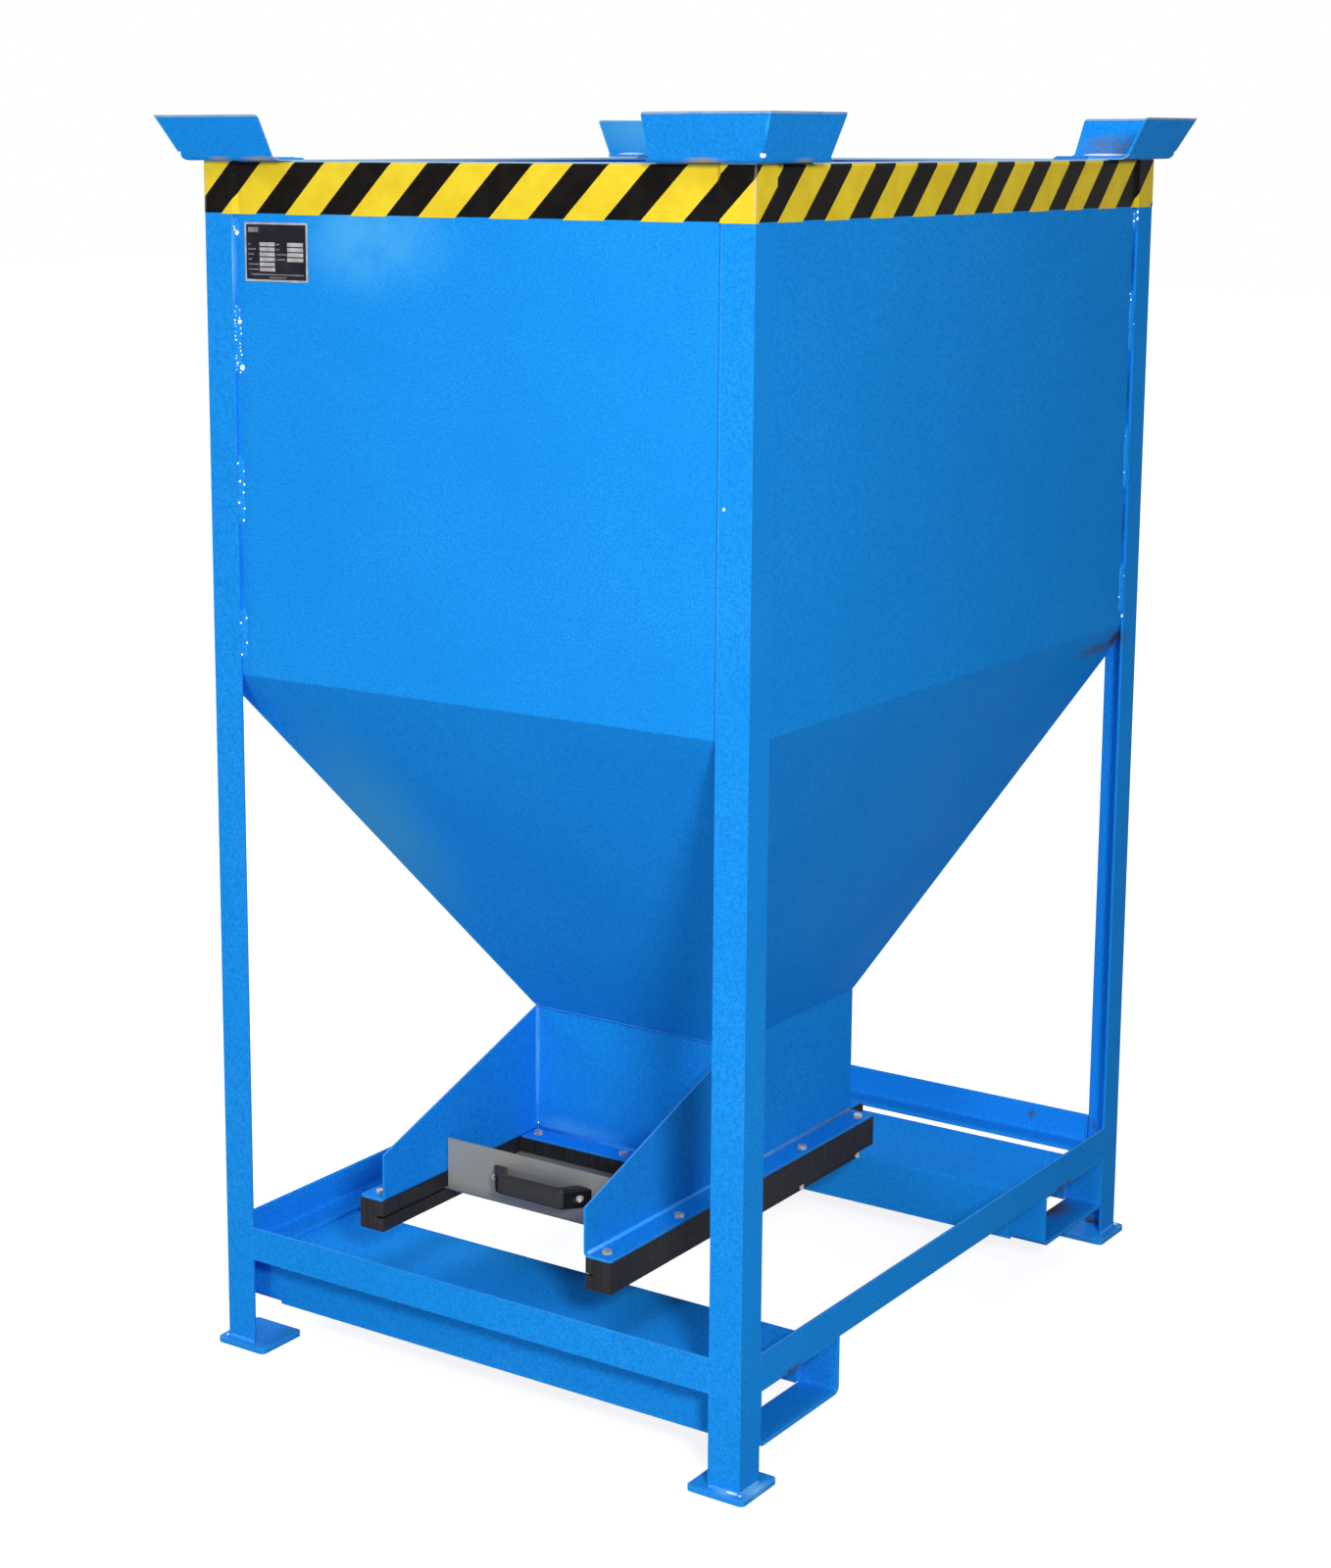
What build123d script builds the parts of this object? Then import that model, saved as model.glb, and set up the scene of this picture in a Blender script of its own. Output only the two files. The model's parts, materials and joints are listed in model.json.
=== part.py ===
from build123d import *
from math import cos, hypot, radians, tan
import os

# Silo container on four legs: a welded bin of folded sheet with a square outlet,
# a hand-drawn slide gate, stacking corners on the rim and fork loops under the base.
# X runs across the front, Y runs back from the front, Z is up and the floor is z = 0.

# Frame over the outside of the corner posts
width = 900.0
depth = 1180.0
rim_z = 1750.0

# Corner posts and base rails, one stock of equal steel angle
angle_leg = 50.0
angle_wall = 5.0
rail_z = 140.0
angle_root = 6.0
angle_toe = 2.5

# Foot plates
foot_size = 90.0
foot_thickness = 8.0
foot_overhang = 13.0
foot_corner = 8.0

# Stacking corners: a plate on the rim, bent up into a flared collar round a foot plate
collar_plate = 4.0
collar_height = 62.0
collar_lean = 25.0
collar_clearance = 1.0
collar_bend = 5.0
collar_seat = 40.0
collar_wing = 142.0
collar_taper = 4.0
collar_tab = 10.0
collar_corner = 6.0

# Bin of folded sheet
sheet = 3.0
bend = 4.0
rim_lip = 30.0
break_z = 1025.0
neck_z = 470.0
outlet = 350.0
corner_clearance = 1.0

# Outlet duct, its bolting flanges and the cheeks that carry the slide bars
flange = 42.0
cheek_setback = 33.0
cheek_nose = 68.0
flange_corner = 6.0

# Slide bars and cross bars of polyethylene
bar_bottom_z = 223.0
bar_height = 46.0
groove_rise = 19.0
groove_depth = 12.0
front_bar_gap = 2.0
strip_width = 15.0
strip_height = 28.0

# Gate: a plate in the grooves with its front edge bent up
gate_plate = 3.0
gate_play = 0.3
gate_slack = 0.7
gate_edge_gap = 3.0
gate_front = 180.0
gate_flange = 82.5
gate_flange_gap = 3.0
gate_bend = 3.0

# Bow handle on the gate
handle_length = 174.0
handle_front = 116.0
handle_reach = 36.0
handle_height = 29.5
handle_rise = 46.0
handle_bar = 13.0
handle_leg = 24.0
handle_edge = 3.0

# Fasteners
bolt_shank = 8.0
bolt_head = 13.0
bolt_head_height = 5.3
nut_height = 6.5
nut_pocket = 17.0
nut_inset = 3.0
bolt_tail = 16.0
bolt_end = 3.0
bolt_clearance = 0.5
bolt_facets = 12
thread_clearance = 0.1
side_bolts = 5
side_bolt_end = 22.0
side_bolt_rear = 27.0
row_bolts = 3
row_bolt_end = 17.0
screw_tip_gap = 4.0
handle_screw = 6.0
handle_screw_head = 10.0
handle_socket = 5.0
handle_pocket_gap = 1.0
handle_screw_inset = 12.0
handle_screw_seat = 9.0
handle_nut = 10.0
handle_nut_height = 5.0

# Fork loops and the shelves between them
loop_wall = 5.0
loop_width = 60.0
loop_length = 214.0
loop_z = 56.0
loop_bend = 6.0
shelf_wall = 4.0
shelf_depth = 200.0

# Overrun of a cutting body past the faces it cuts
overrun = 1.0

# Places worked out from the sizes above
half_x = width / 2
half_y = depth / 2
bin_x = half_x - angle_wall
bin_y = half_y - angle_wall
duct = outlet / 2 + sheet
bar_top_z = bar_bottom_z + bar_height
flange_top_z = bar_top_z + sheet
bar_outer = duct + flange
bar_front = -half_y + cheek_setback
groove_z = bar_bottom_z + groove_rise
groove_top_z = groove_z + gate_plate + gate_play + gate_slack
gate_z = groove_z + gate_play
gate_face = -half_y + gate_front
gate_half = duct + groove_depth - gate_edge_gap
gate_rear = duct + groove_depth - gate_edge_gap
front_bar_z = groove_top_z + front_bar_gap
handle_z = gate_z + handle_rise
nut_seat_z = bar_bottom_z + nut_inset + nut_height
bolt_x = (duct + strip_width + bar_outer) / 2
nose_bolt_x = (duct + bar_outer) / 2
row_y = duct + flange / 2
post_inner_y = half_y - angle_leg
on_end = (Align.CENTER, Align.CENTER, Align.MIN)
parts = {}


def block(x0, x1, y0, y1, z0, z1):
    """Box between two corners."""
    return Pos((x0 + x1) / 2, (y0 + y1) / 2, (z0 + z1) / 2) * Box(x1 - x0, y1 - y0, z1 - z0)


def outline(points, radii=0.0):
    """Closed face through points, each corner rounded by its radius."""
    return make_face(FilletPolyline(*points, radius=radii, close=True))


def angle_section():
    """Equal angle with its outer corner at the origin and its legs along both axes."""
    leg = angle_leg
    wall = angle_wall
    points = [(0, 0), (leg, 0), (leg, wall), (wall, wall), (wall, leg), (0, leg)]
    return outline(points, [0, 0, angle_toe, angle_root, angle_toe, 0])


def at_corner(shape, side_x, side_y):
    """Copies a piece of the front left corner to another corner."""
    if side_x > 0:
        shape = mirror(shape, about=Plane.YZ)
    if side_y > 0:
        shape = mirror(shape, about=Plane.XZ)
    return shape


def corner_name(side_x, side_y):
    return ("front_" if side_y < 0 else "rear_") + ("left" if side_x < 0 else "right")


def side_name(side_x):
    return "left" if side_x < 0 else "right"


corners = [(side_x, side_y) for side_y in (-1, 1) for side_x in (-1, 1)]


# Corner posts and foot plates
def make_post():
    post = extrude(angle_section(), amount=rim_z - foot_thickness)
    return Pos(-half_x, -half_y, foot_thickness) * post


def make_foot():
    plate = extrude(RectangleRounded(foot_size, foot_size, foot_corner), amount=foot_thickness)
    shift = foot_size / 2 - foot_overhang
    return Pos(-half_x + shift, -half_y + shift, 0) * plate


# Base rails: upright leg outside, flat leg at the bottom pointing inwards
def make_front_rail():
    rail = extrude(Plane.YZ * angle_section(), amount=half_x - angle_leg, both=True)
    return Pos(0, -half_y, rail_z) * rail


def make_left_rail():
    rail = extrude(Plane.XZ * angle_section(), amount=half_y - angle_leg, both=True)
    return Pos(-half_x, 0, rail_z) * rail


# Stacking corners
def collar_section():
    """Section across one wing: distance outside the post face, height over the rim."""
    lean = tan(radians(collar_lean))
    skin = collar_plate / cos(radians(collar_lean))
    tangent = collar_bend * tan(radians(90 - collar_lean) / 2)
    inner_foot = foot_overhang + collar_clearance + tangent
    outer_foot = inner_foot + skin - collar_plate * lean
    top = outer_foot + collar_height * lean
    points = [
        (-collar_seat, 0),
        (outer_foot, 0),
        (top, collar_height),
        (top - skin, collar_height),
        (inner_foot, collar_plate),
        (-collar_seat, collar_plate),
    ]
    return outline(points, [0, collar_bend + collar_plate, 0, 0, collar_bend, 0])


def collar_end_cut(reach):
    """Region beyond a wing's free end, which leans back towards the corner over the tab."""
    tab_top = collar_plate + collar_bend / 2
    points = [
        (collar_wing - collar_taper, collar_height + overrun),
        (collar_wing, tab_top),
        (collar_wing + collar_tab, 0),
        (collar_wing + 2 * reach, 0),
        (collar_wing + 2 * reach, collar_height + overrun),
    ]
    return outline(points)


def make_collar():
    reach = collar_wing + collar_height
    lead = collar_height
    section = Plane.YZ * mirror(collar_section(), about=Plane.YZ)
    wing_x = Pos(-lead, 0, 0) * extrude(section, amount=lead + reach)
    wing_x -= extrude(Plane.XZ * collar_end_cut(reach), amount=reach, both=True)
    wing_x = fillet(wing_x.edges().group_by(Axis.Z)[-1].sort_by(Axis.X)[-1], collar_corner)
    beyond = outline([(-2 * reach, -2 * reach), (2 * reach, 2 * reach), (-2 * reach, 2 * reach)])
    wing_x -= extrude(beyond, amount=2 * reach, both=True)
    wing_y = mirror(wing_x, about=Plane((0, 0, 0), x_dir=(0, 0, 1), z_dir=(1, -1, 0)))
    return Pos(-half_x, -half_y, rim_z) * (wing_x + wing_y)


# Bin: four folded sheets that butt along the corners
def slope_rise(half):
    """How much higher the inside of a slope starts than its outside."""
    run = half - duct
    drop = break_z - neck_z
    return sheet * (hypot(run, drop) - drop) / run


def sheet_section(half):
    """Section of one sheet: turned-in lip, upright wall and slope down to the duct."""
    rise = slope_rise(half)
    points = [
        (half - rim_lip, rim_z),
        (half, rim_z),
        (half, break_z),
        (duct, neck_z),
        (duct - sheet, neck_z),
        (duct - sheet, neck_z + rise),
        (half - sheet, break_z + rise),
        (half - sheet, rim_z - sheet),
        (half - rim_lip, rim_z - sheet),
    ]
    outer = bend + sheet
    return outline(points, [0, outer, outer, 0, 0, 0, bend, bend, 0])


def beyond_outside(half):
    """Region outside a sheet's outer face."""
    points = [
        (duct, neck_z - overrun),
        (duct, neck_z),
        (half, break_z),
        (half, rim_z + overrun),
        (2 * half, rim_z + overrun),
        (2 * half, neck_z - overrun),
    ]
    return outline(points, [0, 0, bend + sheet, 0, 0, 0])


def beyond_inside(half):
    """Region outside a sheet's inner face, its lip included."""
    rise = slope_rise(half)
    points = [
        (duct - sheet, neck_z - overrun),
        (duct - sheet, neck_z + rise),
        (half - sheet, break_z + rise),
        (half - sheet, rim_z - sheet),
        (half - rim_lip, rim_z - sheet),
        (half - rim_lip, rim_z + overrun),
        (2 * half, rim_z + overrun),
        (2 * half, neck_z - overrun),
    ]
    return outline(points, [0, 0, bend, bend, 0, 0, 0, 0])


def bin_corner_cut():
    """What the root of the front left post takes off the bin's square corner."""
    root = angle_root + corner_clearance
    x0 = -bin_x - overrun
    y0 = -bin_y - overrun
    square = block(x0, -bin_x + root, y0, -bin_y + root, neck_z, rim_z + overrun)
    return square - Pos(-bin_x + root, -bin_y + root, (neck_z + rim_z) / 2) * Cylinder(root, rim_z)


def make_rear_sheet():
    """Rear sheet, as wide as the bin and cut to the outside of the side sheets."""
    wall = extrude(Plane.YZ * sheet_section(bin_y), amount=bin_x, both=True)
    beyond = extrude(Plane.XZ * beyond_outside(bin_x), amount=depth, both=True)
    wall -= [beyond, mirror(beyond, about=Plane.YZ)]
    return wall - [at_corner(bin_corner_cut(), side_x, 1) for side_x in (-1, 1)]


def make_right_sheet():
    """Right sheet, cut to the inside of the front and rear sheets."""
    wall = extrude(Plane.XZ * sheet_section(bin_x), amount=bin_y, both=True)
    beyond = extrude(Plane.YZ * beyond_inside(bin_y), amount=width, both=True)
    wall -= [beyond, mirror(beyond, about=Plane.XZ)]
    return wall - [at_corner(bin_corner_cut(), 1, side_y) for side_y in (-1, 1)]


# Bolt places: along the side flanges, and along the front and rear flanges.
# The side bolts beside the duct are long ones that stick out below the bars.
def spread(first, last, count):
    return [first + (last - first) * i / (count - 1) for i in range(count)]


side_places = spread(bar_front + side_bolt_end, duct - side_bolt_rear, side_bolts)
nose_rows = [(side * nose_bolt_x, side_places[0]) for side in (-1, 1)]
side_rows = nose_rows + [(side * bolt_x, y) for side in (-1, 1) for y in side_places[1:]]
row_x = spread(-outlet / 2 + row_bolt_end, outlet / 2 - row_bolt_end, row_bolts)
rear_rows = [(x, row_y) for x in row_x]
front_rows = [(x, -row_y) for x in row_x]
through_rows = side_rows + rear_rows
long_rows = [(x, y) for x, y in side_rows if y > -duct]
short_rows = [place for place in through_rows if place not in long_rows]


def rod(diameter, length):
    """Shank or bore of a bolt, with few faces because heads and nuts cover it."""
    return extrude(RegularPolygon(diameter / 2, bolt_facets, major_radius=False), amount=length)


def bores(places, z0, z1):
    """Clearance holes from z0 to z1, with an overrun at the top."""
    hole = rod(bolt_shank + 2 * bolt_clearance, z1 - z0 + overrun)
    return [Pos(x, y, z0) * hole for x, y in places]


def nut_pockets(places):
    """Round pockets in the underside of a bar, deep enough to hide the nut."""
    pocket = rod(nut_pocket, nut_seat_z - bar_bottom_z + overrun)
    return [Pos(x, y, bar_bottom_z - overrun) * pocket for x, y in places]


# Outlet duct
def make_outlet_side():
    """Left side of the duct, run forward as a cheek, with its bolting flange bent outwards."""
    plate = [
        (duct, bar_top_z),
        (duct, neck_z),
        (-duct, neck_z),
        (bar_front, flange_top_z + cheek_nose),
        (bar_front, bar_top_z),
    ]
    cheek = Pos(-duct, 0, 0) * extrude(Plane.YZ * outline(plate), amount=sheet)
    fold = [
        (-duct + sheet, flange_top_z + bend + sheet),
        (-duct + sheet, bar_top_z),
        (-bar_outer, bar_top_z),
        (-bar_outer, flange_top_z),
        (-duct, flange_top_z),
        (-duct, flange_top_z + bend + sheet),
    ]
    lip = extrude(Plane.XZ * outline(fold, [0, bend + sheet, 0, 0, bend, 0]), amount=depth, both=True)
    lip &= block(-width, 0, bar_front, duct, 0, rim_z)
    cheek -= block(-width, 0, -depth, depth, 0, flange_top_z + bend)
    side = cheek + lip
    side = fillet(side.edges().filter_by(Axis.Z).group_by(Axis.X)[0], flange_corner)
    return side - bores(side_rows, bar_top_z - overrun, flange_top_z)


def make_outlet_end():
    """Front end of the duct between its sides, with its flange bent forwards."""
    fold = [
        (-duct + sheet, neck_z),
        (-duct + sheet, bar_top_z),
        (-bar_outer, bar_top_z),
        (-bar_outer, flange_top_z),
        (-duct, flange_top_z),
        (-duct, neck_z),
    ]
    end = extrude(Plane.YZ * outline(fold, [0, bend + sheet, 0, 0, bend, 0]), amount=outlet / 2, both=True)
    return end - bores(front_rows, bar_top_z - overrun, flange_top_z)


# Slide bars, cross bars and lower strips
def make_slide_bar():
    bar = block(-bar_outer, -duct, bar_front, duct, bar_bottom_z, bar_top_z)
    y0 = bar_front - overrun
    groove = block(-duct - groove_depth, -duct + overrun, y0, duct + overrun, groove_z, groove_top_z)
    bar -= nut_pockets(side_rows)
    return bar - groove - bores(side_rows, bar_bottom_z - overrun, bar_top_z)


def make_rear_bar():
    bar = block(-duct, duct, duct, bar_outer, bar_bottom_z, bar_top_z)
    reach = duct + overrun
    groove = block(-reach, reach, duct - overrun, duct + groove_depth, groove_z, groove_top_z)
    bar -= nut_pockets(rear_rows)
    return bar - groove - bores(rear_rows, bar_bottom_z - overrun, bar_top_z)


def make_front_bar():
    bar = block(-duct, duct, -bar_outer, -duct, front_bar_z, bar_top_z)
    return bar - bores(front_rows, front_bar_z + screw_tip_gap - bolt_clearance, bar_top_z)


def make_lower_strip():
    return block(-duct - strip_width, -duct, -duct, duct, bar_bottom_z - strip_height, bar_bottom_z)


# Fasteners
def hexagon(across, height):
    return extrude(RegularPolygon(across / 2, 6, major_radius=False), amount=height)


def bolt(z0, z1):
    """Hexagon bolt with its head seated on z1 and its end at z0."""
    head = Pos(0, 0, z1) * hexagon(bolt_head, bolt_head_height)
    return head + Pos(0, 0, z0) * rod(bolt_shank, z1 - z0)


def nut(height, across, bore):
    return hexagon(across, height) - rod(bore + 2 * thread_clearance, height)


def group(pieces):
    return Compound(children=[piece.solid() for piece in pieces])


# Gate
def make_gate():
    top = gate_z + gate_plate
    crest = gate_z + gate_flange
    fold = [
        (gate_rear, gate_z),
        (gate_face, gate_z),
        (gate_face, crest),
        (gate_face + gate_plate, crest),
        (gate_face + gate_plate, top),
        (gate_rear, top),
    ]
    section = outline(fold, [0, gate_bend + gate_plate, 0, 0, gate_bend, 0])
    gate = extrude(Plane.YZ * section, amount=gate_half, both=True)
    flange_half = outlet / 2 - gate_flange_gap
    shoulder = gate_face + gate_plate + gate_bend
    for side in (-1, 1):
        x0, x1 = sorted((side * flange_half, side * (gate_half + overrun)))
        gate -= block(x0, x1, gate_face - overrun, shoulder, gate_z - overrun, crest + overrun)
    hole = Rot(90, 0, 0) * Cylinder(handle_screw / 2 + bolt_clearance, 4 * gate_plate)
    return gate - [Pos(x, gate_face, handle_z) * hole for x in handle_screws]


handle_screws = [side * (handle_length / 2 - handle_screw_inset) for side in (-1, 1)]
handle_seat_y = gate_face - handle_screw_seat


def make_handle():
    """Bow handle: a bridge with sloping ends, drawn from above and rounded at its edges."""
    slope = (handle_length - handle_front) / 2 / handle_reach
    grip = handle_reach - handle_bar
    foot = handle_length / 2 - handle_leg
    throat = foot - grip * slope
    arch = [
        (-handle_length / 2, 0),
        (-handle_front / 2, -handle_reach),
        (handle_front / 2, -handle_reach),
        (handle_length / 2, 0),
        (foot, 0),
        (throat, -grip),
        (-throat, -grip),
        (-foot, 0),
    ]
    corner = handle_bar
    inner = handle_bar / 2
    section = outline(arch, [0, corner, corner, 0, 0, inner, inner, 0])
    bow = extrude(section, amount=handle_height / 2, both=True)
    rims = bow.edges().group_by(Axis.Z)
    bow = chamfer(rims[0] + rims[-1], handle_edge)
    bow = Pos(0, gate_face, handle_z) * bow
    hole = Rot(90, 0, 0) * Cylinder(handle_screw / 2 + bolt_clearance, 4 * handle_reach)
    pocket = Rot(90, 0, 0) * Cylinder(handle_screw_head / 2 + handle_pocket_gap, handle_reach, align=on_end)
    for x in handle_screws:
        bow -= Pos(x, gate_face, handle_z) * hole
        bow -= Pos(x, handle_seat_y, handle_z) * pocket
    return bow


def make_handle_screw(x):
    """Socket head screw, head in the handle's recess, shank through the gate flange."""
    end = gate_face + gate_plate + handle_nut_height + bolt_end
    length = end - handle_seat_y
    head = Cylinder(handle_screw_head / 2, handle_screw, align=on_end)
    head -= Pos(0, 0, handle_screw / 2) * hexagon(handle_socket, handle_screw)
    shank = Pos(0, 0, -length) * rod(handle_screw, length)
    return Pos(x, handle_seat_y, handle_z) * Rot(90, 0, 0) * (head + shank)


def make_handle_nut(x):
    screw_nut = nut(handle_nut_height, handle_nut, handle_screw)
    return Pos(x, gate_face + gate_plate, handle_z) * Rot(-90, 0, 0) * screw_nut


# Fork loops at the ends of the base and the shelf sheet between two loops
def make_fork_loop(front_y):
    """Flat bar bent to a U under the left rail; the front leg stops under the shelf."""
    back_y = front_y + loop_length
    shelf_z = rail_z - shelf_wall
    points = [
        (front_y, shelf_z),
        (front_y, loop_z),
        (back_y, loop_z),
        (back_y, rail_z),
        (back_y - loop_wall, rail_z),
        (back_y - loop_wall, loop_z + loop_wall),
        (front_y + loop_wall, loop_z + loop_wall),
        (front_y + loop_wall, shelf_z),
    ]
    outer = loop_bend + loop_wall
    section = outline(points, [0, outer, outer, 0, 0, loop_bend, loop_bend, 0])
    return Pos(-half_x, 0, 0) * extrude(Plane.YZ * section, amount=loop_width)


def make_fork_shelf(front_y):
    """Sheet under the side rails with its front and back edges bent down between the loops."""
    back_y = front_y + shelf_depth
    shelf_z = rail_z - shelf_wall
    back_z = loop_z + loop_wall
    points = [
        (front_y, loop_z),
        (front_y, rail_z),
        (back_y, rail_z),
        (back_y, back_z),
        (back_y - shelf_wall, back_z),
        (back_y - shelf_wall, shelf_z),
        (front_y + shelf_wall, shelf_z),
        (front_y + shelf_wall, loop_z),
    ]
    outer = bend + shelf_wall
    section = outline(points, [0, outer, outer, 0, 0, bend, bend, 0])
    shelf = extrude(Plane.YZ * section, amount=half_x, both=True)
    for side in (-1, 1):
        x0, x1 = sorted((side * (half_x - loop_width), side * (half_x + overrun)))
        shelf -= block(x0, x1, front_y - overrun, back_y + overrun, 0, shelf_z)
    return shelf


for side_x, side_y in corners:
    name = corner_name(side_x, side_y)
    parts["post_" + name] = at_corner(make_post(), side_x, side_y)
    parts["foot_plate_" + name] = at_corner(make_foot(), side_x, side_y)
    parts["stacking_corner_" + name] = at_corner(make_collar(), side_x, side_y)

parts["base_rail_front"] = make_front_rail()
parts["base_rail_rear"] = at_corner(make_front_rail(), -1, 1)
parts["base_rail_left"] = make_left_rail()
parts["base_rail_right"] = at_corner(make_left_rail(), 1, -1)

parts["bin_sheet_front"] = mirror(make_rear_sheet(), about=Plane.XZ)
parts["bin_sheet_rear"] = make_rear_sheet()
parts["bin_sheet_left"] = mirror(make_right_sheet(), about=Plane.YZ)
parts["bin_sheet_right"] = make_right_sheet()

for row, front_y in (("front", -post_inner_y), ("rear", post_inner_y - loop_length)):
    parts["fork_shelf_" + row] = make_fork_shelf(front_y)
    for side_x in (-1, 1):
        parts["fork_loop_" + row + "_" + side_name(side_x)] = at_corner(make_fork_loop(front_y), side_x, -1)

for side_x in (-1, 1):
    parts["outlet_side_" + side_name(side_x)] = at_corner(make_outlet_side(), side_x, -1)
    parts["slide_bar_" + side_name(side_x)] = at_corner(make_slide_bar(), side_x, -1)
    parts["lower_strip_" + side_name(side_x)] = at_corner(make_lower_strip(), side_x, -1)

parts["outlet_end_front"] = make_outlet_end()
parts["outlet_end_rear"] = at_corner(make_outlet_end(), -1, 1)
parts["cross_bar_front"] = make_front_bar()
parts["cross_bar_rear"] = make_rear_bar()

long_bolts = [Pos(x, y, 0) * bolt(bar_bottom_z - bolt_tail, flange_top_z) for x, y in long_rows]
short_bolts = [Pos(x, y, 0) * bolt(bar_bottom_z, flange_top_z) for x, y in short_rows]
parts["frame_bolts"] = group(long_bolts + short_bolts)
frame_nut = nut(nut_height, bolt_head, bolt_shank)
parts["frame_nuts"] = group([Pos(x, y, bar_bottom_z + nut_inset) * frame_nut for x, y in through_rows])
screw_end = front_bar_z + screw_tip_gap
parts["front_bar_screws"] = group([Pos(x, y, 0) * bolt(screw_end, flange_top_z) for x, y in front_rows])

parts["gate_plate"] = make_gate()
parts["gate_handle"] = make_handle()
parts["handle_screws"] = group([make_handle_screw(x) for x in handle_screws])
parts["handle_nuts"] = group([make_handle_nut(x) for x in handle_screws])

os.makedirs("parts", exist_ok=True)
for name, shape in parts.items():
    export_step(shape, os.path.join("parts", name + ".step"))
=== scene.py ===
import json
import math
import random

import bmesh
import bpy
from mathutils import Matrix, Vector


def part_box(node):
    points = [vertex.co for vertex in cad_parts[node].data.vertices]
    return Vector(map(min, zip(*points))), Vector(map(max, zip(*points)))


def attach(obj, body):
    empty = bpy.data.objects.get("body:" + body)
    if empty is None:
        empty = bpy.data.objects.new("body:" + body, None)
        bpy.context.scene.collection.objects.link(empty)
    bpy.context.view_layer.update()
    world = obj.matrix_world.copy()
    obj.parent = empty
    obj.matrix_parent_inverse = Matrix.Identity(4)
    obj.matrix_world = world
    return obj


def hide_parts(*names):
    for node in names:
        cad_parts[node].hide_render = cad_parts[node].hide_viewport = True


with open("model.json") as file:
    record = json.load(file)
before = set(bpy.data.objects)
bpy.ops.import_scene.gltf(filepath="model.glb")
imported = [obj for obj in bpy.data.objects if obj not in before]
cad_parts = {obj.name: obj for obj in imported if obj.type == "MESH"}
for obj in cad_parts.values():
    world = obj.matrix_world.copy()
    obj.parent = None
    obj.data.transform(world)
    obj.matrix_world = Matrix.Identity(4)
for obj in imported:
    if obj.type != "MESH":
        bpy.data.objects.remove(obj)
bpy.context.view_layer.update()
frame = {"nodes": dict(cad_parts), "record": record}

# Looks of the silo container: paint, welds, hazard tape, data plate, fasteners, light and camera.
# Lengths are in metres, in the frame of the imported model: the gate is at the front, -Y.

nodes = frame["nodes"]
rng = random.Random(7)

# Places read from the frame
POST_LOW, POST_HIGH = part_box("post_front_right")
HALF_X = POST_HIGH.x
HALF_Y = -POST_LOW.y
LEG = POST_HIGH.x - POST_LOW.x
FOOT_TOP = POST_LOW.z
RIM_Z = POST_HIGH.z
BIN_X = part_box("bin_sheet_right")[1].x
BIN_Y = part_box("bin_sheet_rear")[1].y
NECK_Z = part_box("bin_sheet_rear")[0].z
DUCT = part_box("slide_bar_right")[0].x
RAIL_LOW, RAIL_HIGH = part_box("base_rail_front")
BAR_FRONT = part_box("slide_bar_right")[0].y

# Sizes of the folded sheet that no box shows
SHEET = 0.003
BEND = 0.004
BREAK_Z = 1.025
RIM_RADIUS = 0.007
FLANGE_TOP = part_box("outlet_end_front")[0].z + SHEET

# Hazard tape's upper edge, width and middle
TAPE_TOP = RIM_Z - 0.002
TAPE_WIDTH = 0.0712
TAPE_MIDDLE = TAPE_TOP - TAPE_WIDTH / 2

# Stacking corners: reach of the collars, their seat, lean and height
COLLAR_LOW, COLLAR_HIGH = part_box("stacking_corner_rear_right")
COLLAR_PLATE = 0.004
COLLAR_FOLD = 0.0145
COLLAR_LEAN = math.radians(25)
COLLAR_HEIGHT = COLLAR_HIGH.z - COLLAR_LOW.z
COLLAR_REACH = COLLAR_HIGH.x - HALF_X

# Directions, and the signs of the four corners
X = Vector((1, 0, 0))
Y = Vector((0, 1, 0))
Z = Vector((0, 0, 1))
SIDES = [(side_x, side_y) for side_y in (-1, 1) for side_x in (-1, 1)]

# Camera, from the photograph's own frame of 1358 by 1600 pixels
FRAME_WIDTH_PX = 1358
FRAME_HEIGHT_PX = 1600
FOCAL_PX = 2904.1
PRINCIPAL_X_PX = 571.1
PRINCIPAL_Y_PX = 684.1
CAMERA_AT = Vector((2.282, -3.598, 1.774))
CAMERA_YAW = math.radians(35.229)
CAMERA_PITCH = math.radians(10.500)
CAMERA_ROLL = math.radians(0.024)
SENSOR_MM = 36.0


# Sockets of the Mix node that serve colours
MIX_INPUTS = (0, 6, 7)
MIX_OUTPUT = 2

# Where ground starts to face up and fully does, and where an edge starts to show and fully does
FACING_UP = (0.6, 0.9)
SHARP_TURN = (0.99, 0.8)
EDGE_SAMPLES = 6


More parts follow.
